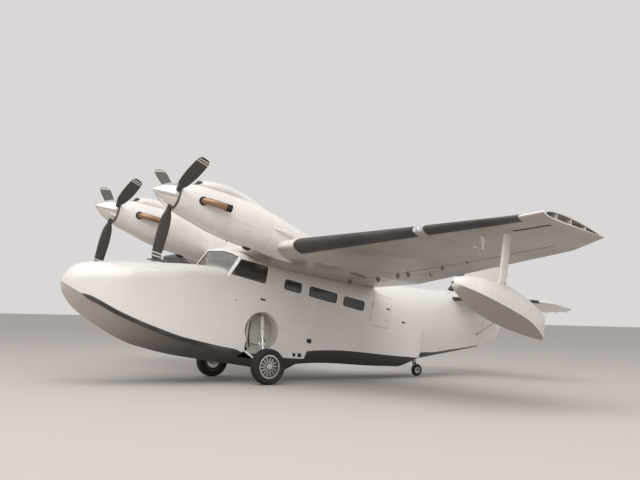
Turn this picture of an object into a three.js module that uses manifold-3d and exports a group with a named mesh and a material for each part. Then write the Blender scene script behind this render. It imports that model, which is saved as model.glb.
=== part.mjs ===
// Twin-turboprop amphibious flying boat, parked tail down on its own wheels.
// Millimetres. The airframe is drawn in its level frame: +X aft, +Y to the right, +Z up.
// The last lines tilt it nose up about Y until all three tyres stand on z = 0.
import * as THREE from 'three';
import { mergeVertices } from 'three/addons/utils/BufferGeometryUtils.js';
import Module from 'manifold-3d';

// Attitude and stance on the ground
const PARK_ANGLE = THREE.MathUtils.degToRad(11.3);
const TRACK = 2476;
const WHEELBASE = 5020;
const MAIN_TYRE_RADIUS = 363.5;
const TAIL_TYRE_RADIUS = 145;

// Shared fits
const FIT = 0.3;
const PIVOT_FIT = 0.6;
const RUNNING_GAP = 6;
const WALL = 50;

// Splits of the hull, where the skins meet
const BOW_END = -1750;
const COCKPIT_END = -200;
const CABIN_END = 3900;
const HULL_END = 6790;
const FLOOR_Z = 1000;
const SILL_Z = 2000;
const ROOF_SPLIT_Z = 2330;

// Wing
const WING_JOIN_Y = 2400;
const WING_Z = 2680;
const DIHEDRAL = 0.0919;
const NACELLE_Y = 1556;

// Propellers
const HUB_X = -3020;
const THRUST_Z = 3060;
const THRUST_PITCH = THREE.MathUtils.degToRad(1.6);

const COLOUR = {
  white: [0xe9e4dd, 0.35, 0.0],
  bottom: [0x4a4744, 0.5, 0.0],
  black: [0x1d1c1c, 0.6, 0.0],
  glass: [0x2a2d30, 0.08, 0.0],
  spinner: [0xb9b2ad, 0.18, 1.0],
  blade: [0x5a5453, 0.45, 0.2],
  steel: [0x8a8078, 0.4, 0.9],
  rubber: [0x232021, 0.85, 0.0],
  seat: [0x8d7a64, 0.8, 0.0],
};

// Solids: three.js shapes become closed solids that can be joined and cut
const wasm = await Module();
wasm.setup();

function fromTriangles(points, triangles) {
  const vertProperties = new Float32Array(points.flat());
  const mesh = new wasm.Mesh({ numProp: 3, vertProperties, triVerts: new Uint32Array(triangles) });
  return new wasm.Manifold(mesh);
}

function solidOf(geometry) {
  const bare = geometry.clone();
  bare.deleteAttribute('normal');
  bare.deleteAttribute('uv');
  const merged = mergeVertices(bare, 1e-3);
  const position = merged.attributes.position;
  const points = [];
  for (let i = 0; i < position.count; i += 1) {
    points.push([position.getX(i), position.getY(i), position.getZ(i)]);
  }
  const index = Array.from(merged.index.array);
  const triangles = [];
  for (let i = 0; i < index.length; i += 3) {
    const [a, b, c] = index.slice(i, i + 3);
    if (a !== b && b !== c && c !== a) triangles.push(a, b, c);
  }
  if (volumeOf(points, triangles) < 0) triangles.reverse();
  return fromTriangles(points, triangles);
}

function geometryOf(solid) {
  const mesh = solid.getMesh();
  const geometry = new THREE.BufferGeometry();
  geometry.setAttribute('position', new THREE.BufferAttribute(mesh.vertProperties, 3));
  geometry.setIndex(new THREE.BufferAttribute(mesh.triVerts, 1));
  geometry.computeVertexNormals();
  return geometry;
}

// The same solid on the other side of the plane y = 0
function mirrored(solid) {
  const mesh = solid.getMesh();
  const points = [];
  for (let i = 0; i < mesh.vertProperties.length; i += 3) {
    points.push([mesh.vertProperties[i], -mesh.vertProperties[i + 1], mesh.vertProperties[i + 2]]);
  }
  const triangles = [];
  for (let i = 0; i < mesh.triVerts.length; i += 3) {
    triangles.push(mesh.triVerts[i], mesh.triVerts[i + 2], mesh.triVerts[i + 1]);
  }
  return fromTriangles(points, triangles);
}

// A skin through rings of equally many points, with a flat cap at each end. The second half
// of a ring has its facets split the other way, so that a symmetric ring gives a symmetric skin.
function loft(rings) {
  const count = rings[0].length;
  const points = rings.flat();
  const triangles = [];
  for (let r = 0; r + 1 < rings.length; r += 1) {
    for (let i = 0; i < count; i += 1) {
      const a = r * count + i;
      const b = r * count + ((i + 1) % count);
      if (i < Math.floor(count / 2)) triangles.push(a, b, b + count, a, b + count, a + count);
      else triangles.push(a, b, a + count, b, b + count, a + count);
    }
  }
  cap(rings[0], 0, true);
  cap(rings[rings.length - 1], (rings.length - 1) * count, false);
  if (volumeOf(points, triangles) < 0) triangles.reverse();
  return fromTriangles(points, triangles);

  function cap(ring, first, reversed) {
    const [u, v] = widestPlane(ring);
    const flat = ring.map((p) => new THREE.Vector2(p[u], p[v]));
    const clockwise = THREE.ShapeUtils.isClockWise(flat);
    for (const [a, b, c] of THREE.ShapeUtils.triangulateShape(flat, [])) {
      if (clockwise === reversed) triangles.push(first + a, first + b, first + c);
      else triangles.push(first + a, first + c, first + b);
    }
  }

  function widestPlane(ring) {
    const pairs = [[0, 1], [1, 2], [2, 0]];
    const area = ([u, v]) => Math.abs(THREE.ShapeUtils.area(
      ring.map((p) => new THREE.Vector2(p[u], p[v])),
    ));
    const best = pairs.reduce((a, b) => (area(a) >= area(b) ? a : b));
    const sign = THREE.ShapeUtils.area(ring.map((p) => new THREE.Vector2(p[best[0]], p[best[1]])));
    return sign > 0 ? best : [best[1], best[0]];
  }
}

function volumeOf(points, triangles) {
  let volume = 0;
  for (let i = 0; i < triangles.length; i += 3) {
    const [a, b, c] = [0, 1, 2].map((k) => new THREE.Vector3(...points[triangles[i + k]]));
    volume += a.dot(b.cross(c));
  }
  return volume;
}

function box(x0, x1, y0, y1, z0, z1) {
  const geometry = new THREE.BoxGeometry(x1 - x0, y1 - y0, z1 - z0);
  geometry.translate((x0 + x1) / 2, (y0 + y1) / 2, (z0 + z1) / 2);
  return solidOf(geometry);
}

// A round bar, or a cone, from one point to another
function rod(from, to, radius, endRadius = radius, sides = 12) {
  const a = new THREE.Vector3(...from);
  const b = new THREE.Vector3(...to);
  const geometry = new THREE.CylinderGeometry(endRadius, radius, a.distanceTo(b), sides);
  const turn = new THREE.Quaternion().setFromUnitVectors(
    new THREE.Vector3(0, 1, 0),
    b.clone().sub(a).normalize(),
  );
  geometry.applyQuaternion(turn);
  geometry.translate((a.x + b.x) / 2, (a.y + b.y) / 2, (a.z + b.z) / 2);
  return solidOf(geometry);
}

// A turned piece: the profile gives [radius, distance along the axis]. The phase turns its
// facets, so that a wheel stands on a corner of its outline.
function turned(profile, centre, axis, sides, phase = 0) {
  const points = profile.map(([radius, along]) => new THREE.Vector2(radius, along));
  const geometry = new THREE.LatheGeometry(points, sides, phase);
  const turn = new THREE.Quaternion().setFromUnitVectors(
    new THREE.Vector3(0, 1, 0),
    new THREE.Vector3(...axis).normalize(),
  );
  geometry.applyQuaternion(turn);
  geometry.translate(...centre);
  return solidOf(geometry);
}

// An outline in side view, [x, z], pulled straight across from y0 to y1
function acrossY(outline, y0, y1) {
  return loft([y0, y1].map((y) => outline.map(([x, z]) => [x, y, z])));
}

// An outline in plan, [x, y], pulled straight up from z0 to z1
function upZ(outline, z0, z1) {
  return loft([z0, z1].map((z) => outline.map(([x, y]) => [x, y, z])));
}

function roundedOutline(x0, x1, z0, z1, radius) {
  const outline = [];
  const corners = [[x1 - radius, z1 - radius, 0], [x0 + radius, z1 - radius, 90],
    [x0 + radius, z0 + radius, 180], [x1 - radius, z0 + radius, 270]];
  for (const [cx, cz, start] of corners) {
    for (let step = 0; step <= 2; step += 1) {
      const angle = THREE.MathUtils.degToRad(start + 45 * step);
      outline.push([cx + radius * Math.cos(angle), cz + radius * Math.sin(angle)]);
    }
  }
  return outline;
}

// Straight-line reading of a table at x; the first column is x
function at(table, x) {
  const last = table.length - 1;
  if (x <= table[0][0]) return table[0].slice(1);
  if (x >= table[last][0]) return table[last].slice(1);
  const i = table.findIndex((row) => row[0] >= x);
  const [a, b] = [table[i - 1], table[i]];
  const t = (x - a[0]) / (b[0] - a[0]);
  return a.slice(1).map((value, k) => value + t * (b[k + 1] - value));
}

// Where a point on the ground frame lies in the level airframe
function fromGround(x, y, z) {
  const [c, s] = [Math.cos(PARK_ANGLE), Math.sin(PARK_ANGLE)];
  return [x * c - z * s, y, x * s + z * c];
}

const GROUND_UP = [-Math.sin(PARK_ANGLE), 0, Math.cos(PARK_ANGLE)];

const model = new THREE.Group();
const airframe = new THREE.Group();
airframe.rotation.y = PARK_ANGLE;
model.add(airframe);

function piece(name, solid, [colour, roughness, metalness]) {
  const material = new THREE.MeshStandardMaterial({ color: colour, roughness, metalness });
  const mesh = new THREE.Mesh(geometryOf(solid), material);
  mesh.name = name;
  airframe.add(mesh);
  return solid;
}

// Left piece and its mirror image on the right
function pair(name, leftSolid, colour) {
  piece(`${name}_left`, leftSolid, colour);
  piece(`${name}_right`, mirrored(leftSolid), colour);
}

// HULL
// Planing bottom. Columns: x, keel z, chine z, chine y
const BOTTOM = [
  [-4200, 1130, 1160, 30],
  [-4150, 990, 1120, 150],
  [-4030, 850, 1060, 270],
  [-3850, 710, 990, 370],
  [-3550, 570, 900, 490],
  [-3200, 440, 785, 580],
  [-2880, 340, 710, 635],
  [-2500, 268, 640, 680],
  [-1750, 235, 550, 735],
  [-1000, 265, 535, 755],
  [-360, 300, 570, 760],
  [1060, 400, 710, 760],
  [1100, 520, 880, 760],
  [3900, 1035, 1300, 700],
  [4370, 1130, 1370, 620],
  [4400, 1255, 1470, 560],
  [5000, 1460, 1610, 430],
  [5600, 1670, 1785, 310],
  [6200, 1880, 1950, 180],
  [6790, 2090, 2125, 50],
];

// Upper body under the nose deck. Columns: x, side y, side z, top z, squareness of the shoulder
const DECK = [
  [-4200, 35, 1175, 1210, 2.0],
  [-4150, 160, 1200, 1360, 2.0],
  [-4030, 285, 1250, 1530, 2.0],
  [-3850, 385, 1300, 1630, 2.0],
  [-3550, 505, 1360, 1725, 2.1],
  [-3200, 590, 1430, 1810, 2.2],
  [-2880, 640, 1500, 1890, 2.3],
  [-2500, 685, 1590, 1985, 2.4],
  [-1750, 735, 1850, 2130, 2.5],
  [-800, 755, 1950, 2290, 2.5],
];

// Upper body from the cockpit aft, same columns
const ROOF = [
  [-1750, 735, 2060, 2500, 3.5],
  [-1350, 745, 2100, 2560, 3.5],
  [-800, 755, 2120, 2630, 3.4],
  [0, 760, 2150, 2680, 2.8],
  [1060, 760, 2170, 2740, 2.6],
  [2740, 755, 2190, 2890, 2.4],
  [3900, 710, 2150, 3030, 2.3],
  [4400, 640, 2150, 3090, 2.2],
  [5000, 530, 2180, 3180, 2.2],
  [5600, 400, 2270, 3260, 2.1],
  [6200, 250, 2430, 3250, 2.0],
  [6790, 90, 2600, 3220, 2.0],
];

// One cross-section; grow moves it outwards, a negative value inwards
function hullRing(x, upper, grow) {
  const [keelZ, chineZ, chineY] = at(BOTTOM, x);
  const [sideY, sideZ, topZ, power] = at(upper, x);
  const half = [
    [0, keelZ],
    [chineY * 0.55, keelZ + (chineZ - keelZ) * 0.5],
    [chineY, chineZ],
    [sideY * 0.6 + chineY * 0.4, (chineZ + sideZ) / 2],
    [sideY, sideZ],
  ];
  for (const degrees of [22, 42, 60, 76]) {
    const angle = THREE.MathUtils.degToRad(degrees);
    half.push([
      sideY * Math.cos(angle) ** (2 / power),
      sideZ + (topZ - sideZ) * Math.sin(angle) ** (2 / power),
    ]);
  }
  half.push([0, topZ]);
  const middleZ = (keelZ + topZ) / 2;
  const stretchY = (sideY + grow) / sideY;
  const stretchZ = (topZ - middleZ + grow) / (topZ - middleZ);
  const ring = half.map(([y, z]) => [x, y * stretchY, middleZ + (z - middleZ) * stretchZ]);
  const leftSide = ring.slice(1, -1).reverse().map(([px, y, z]) => [px, -y, z]);
  return [...ring, ...leftSide];
}

function hullBody(upper, from, to, grow = 0) {
  const stations = [...BOTTOM, ...upper].map(([x]) => x).filter((x) => x > from && x < to);
  const xs = [...new Set([from, ...stations, to])].sort((a, b) => a - b);
  return loft(xs.map((x) => hullRing(x, upper, grow)));
}

// Windscreen: two flat panes that meet at a raked centre post
const POST_BASE = [-1530, 0, 2180];
const POST_RAKE = [180, 0, 340];
const PANE_SWEEP = [410, -700, -130];

function paneCorner(across, up, depth = 0) {
  const normal = new THREE.Vector3(...POST_RAKE).cross(new THREE.Vector3(...PANE_SWEEP)).normalize();
  return POST_BASE.map((value, k) => value + across * PANE_SWEEP[k] + up * POST_RAKE[k]
    + depth * normal.getComponent(k));
}

function windscreenWedge() {
  const behind = 1500;
  return loft([-2, 2.5].map((up) => {
    const post = paneCorner(0, up);
    const left = paneCorner(2, up);
    const back = [post[0] + behind, left[1], left[2]];
    return [post, left, back, [back[0], -back[1], back[2]], [left[0], -left[1], left[2]]];
  }));
}

function paneSolid(margin, front, back) {
  const corners = [[0.05, 0.06], [0.96, 0.08], [0.92, 1.18], [0.7, 1.25], [0.44, 1.24], [0.05, 0.95]];
  const [mx, my] = [0.5, 0.6];
  const shrink = 1 - margin;
  return loft([front, back].map((depth) => corners.map(([across, up]) => (
    paneCorner(mx + (across - mx) * shrink, my + (up - my) * shrink, depth)
  ))));
}

const cockpitOuter = hullBody(DECK, BOW_END - 50, -801)
  .add(hullBody(ROOF, BOW_END - 50, COCKPIT_END + 50).intersect(windscreenWedge()));
const cockpitInner = hullBody(DECK, BOW_END - 100, -801, -WALL)
  .add(hullBody(ROOF, BOW_END - 100, COCKPIT_END + 100, -WALL).intersect(
    windscreenWedge().translate([WALL * 1.4, 0, 0]),
  ));
const cabinOuter = hullBody(ROOF, -900, CABIN_END + 50);
const cabinInner = hullBody(ROOF, -900, CABIN_END + 100, -WALL);
const bodyOuter = cockpitOuter.add(cabinOuter);
const bodyInner = cockpitInner.add(cabinInner);
const bodyShell = bodyOuter.subtract(bodyInner);

function slab(x0, x1, z0, z1, y0 = -2000, y1 = 2000) {
  return box(x0, x1, y0, y1, z0, z1);
}

// WING SURFACES
// Half outline of the section, as fractions of chord and of thickness from a formula
function airfoil(xFront, xBack, thickness, camber, grow = 0) {
  const chord = xBack - xFront;
  const fractions = [1, 0.8, 0.6, 0.4, 0.22, 0.1, 0.03];
  const edge = 3;
  const height = (t) => 5 * thickness * (0.2969 * Math.sqrt(t) - 0.126 * t - 0.3516 * t ** 2
    + 0.2843 * t ** 3 - 0.1036 * t ** 4) * chord + edge * t + grow;
  const arch = (t) => 4 * camber * chord * t * (1 - t);
  const upper = fractions.map((t) => [xFront + t * chord + (t === 1 ? grow : 0), arch(t) + height(t)]);
  const lower = fractions.slice().reverse()
    .map((t) => [xFront + t * chord + (t === 1 ? grow : 0), arch(t) - height(t)]);
  return [...upper, [xFront - grow, 0], ...lower];
}

// Columns: y out from the centreline, leading edge x, trailing edge x, chord-line z,
// thickness over chord
const WING = [
  [0, -790, 2760, WING_Z, 0.15],
  [WING_JOIN_Y, -770, 2500, WING_Z, 0.145],
  [6730, 205, 2105, WING_Z + (6730 - WING_JOIN_Y) * DIHEDRAL, 0.1],
  [7150, 295, 1950, WING_Z + (7150 - WING_JOIN_Y) * DIHEDRAL, 0.1],
  [7600, 320, 1780, WING_Z + (7600 - WING_JOIN_Y) * DIHEDRAL, 0.1],
];
const CAMBER = 0.018;

function wingRing(y, side, grow = 0) {
  const [front, back, z, thickness] = at(WING, y);
  return airfoil(front, back, thickness, CAMBER, grow).map(([px, pz]) => [px, side * y, z + pz]);
}

function wingSpan(from, to, grow = 0) {
  const between = WING.map(([y]) => y).filter((y) => y > from && y < to);
  return loft([from, ...between, to].map((y) => wingRing(y, -1, grow)));
}

// Hinged surfaces on the trailing edge. Columns: name, y inboard, y outboard,
// hinge x inboard, hinge x outboard, nose radius
const SURFACES = [
  ['flap_inner', 830, 2330, 1975, 1890, 132],
  ['flap_outer', 2470, 4120, 1885, 1830, 104],
  ['aileron', 4160, 6700, 1825, 1745, 78],
];
const PIN_RADIUS = 14;
const PIN_LENGTH = 60;

function hingeLine([, yIn, yOut, xIn, xOut]) {
  const point = (y, x) => {
    const [front, back, z] = at(WING, y);
    const t = (x - front) / (back - front);
    return [x, -y, z + 4 * CAMBER * (back - front) * t * (1 - t)];
  };
  return [point(yIn, xIn), point(yOut, xOut)];
}

function along(a, b, distance) {
  const start = new THREE.Vector3(...a);
  const direction = new THREE.Vector3(...b).sub(start).normalize();
  return start.addScaledVector(direction, distance).toArray();
}

// Everything aft of the hinge line, and the round nose on it, between two cuts square to the hinge
function surfaceZone(row, gap) {
  const radius = row[5];
  const [a, b] = hingeLine(row);
  const reach = 300;
  const [p, q] = [along(a, b, -reach), along(b, a, -reach)];
  const behind = loft([p, q].map(([x, y, z]) => [
    [x - gap, y, z + 600], [x + 1500, y, z + 600], [x + 1500, y, z - 600], [x - gap, y, z - 600],
  ]));
  const nose = rod(p, q, radius + gap, radius + gap, 16);
  const cut = rod(along(a, b, -gap), along(b, a, -gap), 4000, 4000, 8);
  return behind.add(nose).intersect(cut);
}

// Pins at both ends of a hinge line; play widens and lengthens them into their bores
function hingePins(row, play) {
  const [a, b] = hingeLine(row);
  const root = RUNNING_GAP + 30;
  const end = PIN_LENGTH + play;
  return rod(along(a, b, -root), along(a, b, end), PIN_RADIUS + play)
    .add(rod(along(b, a, -root), along(b, a, end), PIN_RADIUS + play));
}

let wingCenterLeft = wingSpan(0, WING_JOIN_Y - FIT / 2);
const wholeOuter = wingSpan(WING_JOIN_Y + FIT / 2, 7600);
let wingOuter = wholeOuter;
for (const row of SURFACES) {
  const source = row[0] === 'flap_inner' ? wingCenterLeft : wholeOuter;
  const surface = source.intersect(surfaceZone(row, 0)).subtract(hingePins(row, PIVOT_FIT));
  pair(row[0], surface, COLOUR.white);
  const zone = surfaceZone(row, RUNNING_GAP);
  const pins = hingePins(row, 0);
  if (row[0] === 'flap_inner') wingCenterLeft = wingCenterLeft.subtract(zone).add(pins);
  else wingOuter = wingOuter.subtract(zone).add(pins);
}

// Open tip recess that the float closes when it is folded up
const TIP_SKIN = 14;
const recess = loft([7440, 7640].map((y) => {
  const [front, back, z, thickness] = at(WING, Math.min(y, 7600));
  const ring = airfoil(front + 60, back - 160, thickness * 0.9, CAMBER);
  return ring.map(([px, pz]) => [px, -y, z + pz * (1 - TIP_SKIN / 120)]);
}));
wingOuter = wingOuter.subtract(recess);
pair('wing_outer', wingOuter, COLOUR.white);
const wingCenter = wingCenterLeft.add(mirrored(wingCenterLeft));
piece('wing_center', wingCenter, COLOUR.white);
const wingCenterFit = wingSpan(0, WING_JOIN_Y + 50, FIT).add(mirrored(wingSpan(0, WING_JOIN_Y + 50, FIT)));

// Main-gear wells: round tubs in the hull sides with a slot down through the chine
const WELL_X = -100;
const WELL_Z = 1070;
const WELL_RADIUS = 400;
const WELL_FLOOR_Y = -400;
const TUB_WALL = 30;
const LEG_SLOT = { xFront: -420, xBack: 140, yInner: -470 };

function wellRoom(play) {
  const inner = WELL_FLOOR_Y - play;
  const radius = WELL_RADIUS - play;
  return rod([WELL_X, -900, WELL_Z], [WELL_X, inner, WELL_Z], radius, radius, 24)
    .add(box(LEG_SLOT.xFront + play, LEG_SLOT.xBack - play, -900, LEG_SLOT.yInner - play, 300, WELL_Z));
}

const wellSpace = wellRoom(0);
const tub = rod(
  [WELL_X, -720, WELL_Z],
  [WELL_X, WELL_FLOOR_Y + TUB_WALL, WELL_Z],
  WELL_RADIUS + TUB_WALL,
  WELL_RADIUS + TUB_WALL,
  24,
);

// Windows in the cabin sides. Columns: x from, x to
const CABIN_WINDOWS = [[230, 670], [880, 1630], [1820, 2410]];
const WINDOW_Z = [2055, 2275];
const WINDOW_CORNER = 60;
const GLASS_DEPTH = 9;
const GLASS = 8;

function windowPrism(x0, x1, margin) {
  const outline = roundedOutline(x0 + margin, x1 - margin, WINDOW_Z[0] + margin, WINDOW_Z[1] - margin,
    WINDOW_CORNER);
  return acrossY(outline, -1200, -200);
}

// Cabin door, left side, hinged at its front edge
const DOOR_X = 2650;
const DOOR_WIDTH = 560;
const DOOR_Z = [1820, 2530];
const DOOR_HINGE_Y = -770;
const KNUCKLES_Z = [1950, 2270];

function doorZone(gap) {
  const centre = [DOOR_X, DOOR_HINGE_Y];
  const arc = rod([...centre, DOOR_Z[0] - gap], [...centre, DOOR_Z[1] + gap], DOOR_WIDTH + gap,
    DOOR_WIDTH + gap, 40);
  return arc.intersect(box(DOOR_X + RUNNING_GAP - gap, DOOR_X + 900, -900, -300, 0, 4000));
}

function knuckle(z0, z1, radius) {
  return rod([DOOR_X, DOOR_HINGE_Y, z0], [DOOR_X, DOOR_HINGE_Y, z1], radius, radius, 12);
}

// Raised plates on the cabin floor, where seats or cargo are fastened. Columns: x from, x to
const FLOOR_PLATES = [[600, 1200], [1800, 2400]];
const PLATE_HALF_WIDTH = 350;
const PLATE_RISE = 12;

const bottomZone = slab(BOW_END + FIT, CABIN_END - FIT, -500, FLOOR_Z - FIT);
let hullBottom = bodyOuter.intersect(bottomZone).subtract(wellSpace).subtract(mirrored(wellSpace));
for (const [x0, x1] of FLOOR_PLATES) {
  hullBottom = hullBottom.add(box(x0, x1, -PLATE_HALF_WIDTH, PLATE_HALF_WIDTH, FLOOR_Z - 20, FLOOR_Z + PLATE_RISE));
}
piece('hull_bottom', hullBottom, COLOUR.bottom);

const sideZone = box(BOW_END + FIT, COCKPIT_END, -2000, -FIT, FLOOR_Z, SILL_Z)
  .add(box(COCKPIT_END, CABIN_END - FIT, -2000, -FIT, FLOOR_Z, ROOF_SPLIT_Z));
let sideLeft = bodyShell.intersect(sideZone)
  .add(tub.intersect(bodyOuter).intersect(box(-2000, 2000, -2000, 0, FLOOR_Z, SILL_Z)))
  .subtract(wellSpace)
  .subtract(wingCenterFit);
const glassBand = hullBody(ROOF, -900, CABIN_END, -GLASS_DEPTH)
  .subtract(hullBody(ROOF, -900, CABIN_END, -GLASS_DEPTH - GLASS));
const stripBand = hullBody(ROOF, -900, CABIN_END, -WALL - FIT)
  .subtract(hullBody(ROOF, -900, CABIN_END, -WALL - GLASS));
let glazing = stripBand.intersect(acrossY(
  roundedOutline(CABIN_WINDOWS[0][0] - 40, CABIN_WINDOWS[2][1] + 40, WINDOW_Z[0] - 20, WINDOW_Z[1] + 25, 40),
  -1200,
  -200,
));
for (const [x0, x1] of CABIN_WINDOWS) {
  sideLeft = sideLeft.subtract(windowPrism(x0, x1, 0));
  glazing = glazing.add(wallPane(x0, x1));
}

// A pane fills its window from the strip inside the wall to just under the outer skin
function wallPane(x0, x1) {
  const block = hullBody(ROOF, -900, CABIN_END, -GLASS_DEPTH)
    .subtract(hullBody(ROOF, -900, CABIN_END, -WALL - GLASS / 2));
  return block.intersect(windowPrism(x0, x1, FIT));
}

pair('cabin_glazing', glazing, COLOUR.glass);

let cabinDoor = bodyShell.intersect(doorZone(0));
let sideWithDoor = sideLeft.subtract(doorZone(RUNNING_GAP));
let roofDoorCut = doorZone(RUNNING_GAP);
for (const z of KNUCKLES_Z) {
  const leaf = box(DOOR_X + 4, DOOR_X + 40, DOOR_HINGE_Y, DOOR_HINGE_Y + 40, z - 30, z + 30);
  cabinDoor = cabinDoor.add(knuckle(z - 30, z + 30, 11).add(leaf.subtract(bodyInner)));
  cabinDoor = cabinDoor.subtract(knuckle(z - 31, z + 31, 6 + PIVOT_FIT));
  for (const end of [z - 50, z + 30 + FIT]) {
    const fixed = box(DOOR_X - 40, DOOR_X, DOOR_HINGE_Y, DOOR_HINGE_Y + 40, end, end + 20 - FIT);
    sideWithDoor = sideWithDoor.add(knuckle(end, end + 20 - FIT, 11)).add(fixed);
  }
  sideWithDoor = sideWithDoor.add(knuckle(z - 50, z + 50, 6));
}
piece('cabin_side_left', sideWithDoor, COLOUR.white);
piece('cabin_side_right', mirrored(sideLeft), COLOUR.white);
piece('cabin_door', cabinDoor, COLOUR.white);

const roofZone = slab(COCKPIT_END + FIT, CABIN_END - FIT, ROOF_SPLIT_Z + FIT, 4000);
const cabinRoof = bodyShell.intersect(roofZone).subtract(wingCenterFit).subtract(roofDoorCut);
piece('cabin_roof', cabinRoof, COLOUR.white);

// Cockpit canopy with its windscreen and side windows
const SIDE_WINDOW = [[-1060, 2062], [-230, 2055], [-230, 2430], [-872, 2425]];

function sideWindowPrism(margin) {
  const [mx, mz] = [-620, 2245];
  const outline = SIDE_WINDOW.map(([x, z]) => [
    x - Math.sign(x - mx) * margin,
    z - Math.sign(z - mz) * margin,
  ]);
  return acrossY(outline, -1200, -300);
}

let canopy = bodyShell.intersect(slab(BOW_END + FIT, COCKPIT_END - FIT, SILL_Z + FIT, 4000))
  .subtract(wingCenterFit);
for (const side of [(s) => s, mirrored]) {
  canopy = canopy.subtract(side(paneSolid(0, -60, 160))).subtract(side(sideWindowPrism(0)));
}
piece('cockpit_canopy', canopy, COLOUR.white);
pair('windscreen', paneSolid(0.001, 8, 16), COLOUR.glass);
pair('cockpit_window', glassBand.intersect(sideWindowPrism(FIT)), COLOUR.glass);

const bow = hullBody(DECK, -4200, BOW_END - FIT);
piece('bow', bow, COLOUR.white);
const tail = hullBody(ROOF, CABIN_END, HULL_END);
const tailFit = hullBody(ROOF, CABIN_END + 1, HULL_END + 3, FIT);

// Cockpit fittings
const panelZone = box(-1420, -1370, -900, 900, 1760, 2090);
const panel = panelZone.intersect(hullBody(DECK, BOW_END, -802, -WALL - FIT));
piece('instrument_panel', panel, COLOUR.black);

const SEAT_Y = 340;
const SEAT_X = -820;
const SEAT_FLOOR = FLOOR_Z + FIT;
let seats = box(SEAT_X - 60, SEAT_X + 260, -SEAT_Y - 120, SEAT_Y + 120, SEAT_FLOOR, SEAT_FLOOR + 20);
for (const side of [-1, 1]) {
  const y = side * SEAT_Y;
  seats = seats.add(box(SEAT_X, SEAT_X + 200, y - 90, y + 90, SEAT_FLOOR + 19, 1400))
    .add(box(SEAT_X - 160, SEAT_X + 310, y - 215, y + 215, 1380, 1500))
    .add(loft([[230, 330, 1490], [330, 420, 2050]].map(([near, far, z]) => [
      [SEAT_X + near, y - 205, z], [SEAT_X + far, y - 205, z],
      [SEAT_X + far, y + 205, z], [SEAT_X + near, y + 205, z],
    ])));
}
piece('pilot_seats', seats, COLOUR.seat);

// TAIL
// Columns: z, leading edge x, trailing edge x, thickness over chord
const VERTICAL_TAIL = [
  [2100, 6500, 6880, 0.12],
  [2370, 6300, 7400, 0.1],
  [2800, 5900, 7560, 0.1],
  [3200, 5430, 7570, 0.1],
  [3800, 5800, 7540, 0.1],
  [4300, 6030, 7480, 0.1],
  [4650, 6240, 7380, 0.1],
  [4850, 6460, 7220, 0.1],
  [4940, 6720, 7020, 0.12],
];
const RUDDER_HINGE_X = 6860;
const RUDDER_NOSE = 80;
const RUDDER_LUGS = [4580];

function verticalTail(grow = 0) {
  return loft(VERTICAL_TAIL.map(([z, front, back, thickness]) => (
    airfoil(front, back, thickness, 0, grow).map(([x, y]) => [x, y, z])
  )));
}

// Columns: y, leading edge x, trailing edge x, thickness over chord
const STABILIZER_Z = 3080;
const HORIZONTAL_TAIL = [
  [40, 5430, 7110, 0.09],
  [2000, 5700, 7060, 0.09],
  [2600, 5830, 6980, 0.09],
  [2880, 6010, 6840, 0.09],
  [3000, 6250, 6660, 0.1],
];
const ELEVATOR_HINGE_X = 6520;
const ELEVATOR_NOSE = 62;
const ELEVATOR_OUT = 2800;

function horizontalTail() {
  return loft(HORIZONTAL_TAIL.map(([y, front, back, thickness]) => (
    airfoil(front, back, thickness, 0).map(([x, z]) => [x, -y, STABILIZER_Z + z])
  )));
}

const TORQUE_TUBE = 26;
const wholeFin = verticalTail();
const finFit = verticalTail(FIT);
const rudderZone = (gap) => box(RUDDER_HINGE_X - gap, 9000, -400, 400, 1900, 5200)
  .add(rod([RUDDER_HINGE_X, 0, 1900], [RUDDER_HINGE_X, 0, 5200], RUDDER_NOSE + gap, RUDDER_NOSE + gap, 16));
const rudderPins = (radius) => rod([RUDDER_HINGE_X, 0, 2330], [RUDDER_HINGE_X, 0, 2450], radius)
  .add(rod([RUDDER_HINGE_X, 0, 4550], [RUDDER_HINGE_X, 0, 4650], radius));
const rudderLugs = (gap) => {
  let lugs = box(6700, RUDDER_HINGE_X + 24 + gap, -24 - gap, 24 + gap, 2360 - gap, 2420 + gap);
  for (const z of RUDDER_LUGS) {
    lugs = lugs.add(box(6650, RUDDER_HINGE_X + 24 + gap, -24 - gap, 24 + gap, z - gap, z + 40 + gap));
  }
  return lugs;
};
const lugSweep = (gap) => {
  let space = rod([RUDDER_HINGE_X, 0, 2360 - gap], [RUDDER_HINGE_X, 0, 2420 + gap], 40 + gap, 40 + gap, 16)
    .add(box(6700, RUDDER_HINGE_X, -84, 84, 2360 - gap, 2420 + gap));
  for (const z of RUDDER_LUGS) {
    space = space.add(rod([RUDDER_HINGE_X, 0, z - gap], [RUDDER_HINGE_X, 0, z + 40 + gap], 40 + gap, 40 + gap, 16))
      .add(box(6700, RUDDER_HINGE_X, -84, 84, z - gap, z + 40 + gap));
  }
  return space;
};

const rudder = wholeFin.intersect(rudderZone(0)).subtract(lugSweep(RUNNING_GAP)).add(
  rudderPins(10).intersect(wholeFin),
);
piece('rudder', rudder, COLOUR.white);
const pinHoles = rudderPins(10 + PIVOT_FIT);
const fin = wholeFin.subtract(rudderZone(RUNNING_GAP)).intersect(box(5000, 7000, -500, 500, 3190, 5200))
  .add(rudderLugs(0).intersect(box(6640, 7000, -100, 100, 3250, 5000)))
  .subtract(pinHoles)
  .subtract(tailFit);
piece('fin', fin, COLOUR.white);

const tubeLine = (radius) => rod([ELEVATOR_HINGE_X, -400, STABILIZER_Z], [ELEVATOR_HINGE_X, 400, STABILIZER_Z],
  radius, radius, 16);
const tailSection = tail.subtract(rudderZone(RUNNING_GAP))
  .add(rudderLugs(0).intersect(box(6600, 7000, -100, 100, 2300, 2500)))
  .subtract(pinHoles)
  .subtract(tubeLine(TORQUE_TUBE + PIVOT_FIT));
piece('tail_section', tailSection, COLOUR.white);

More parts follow.
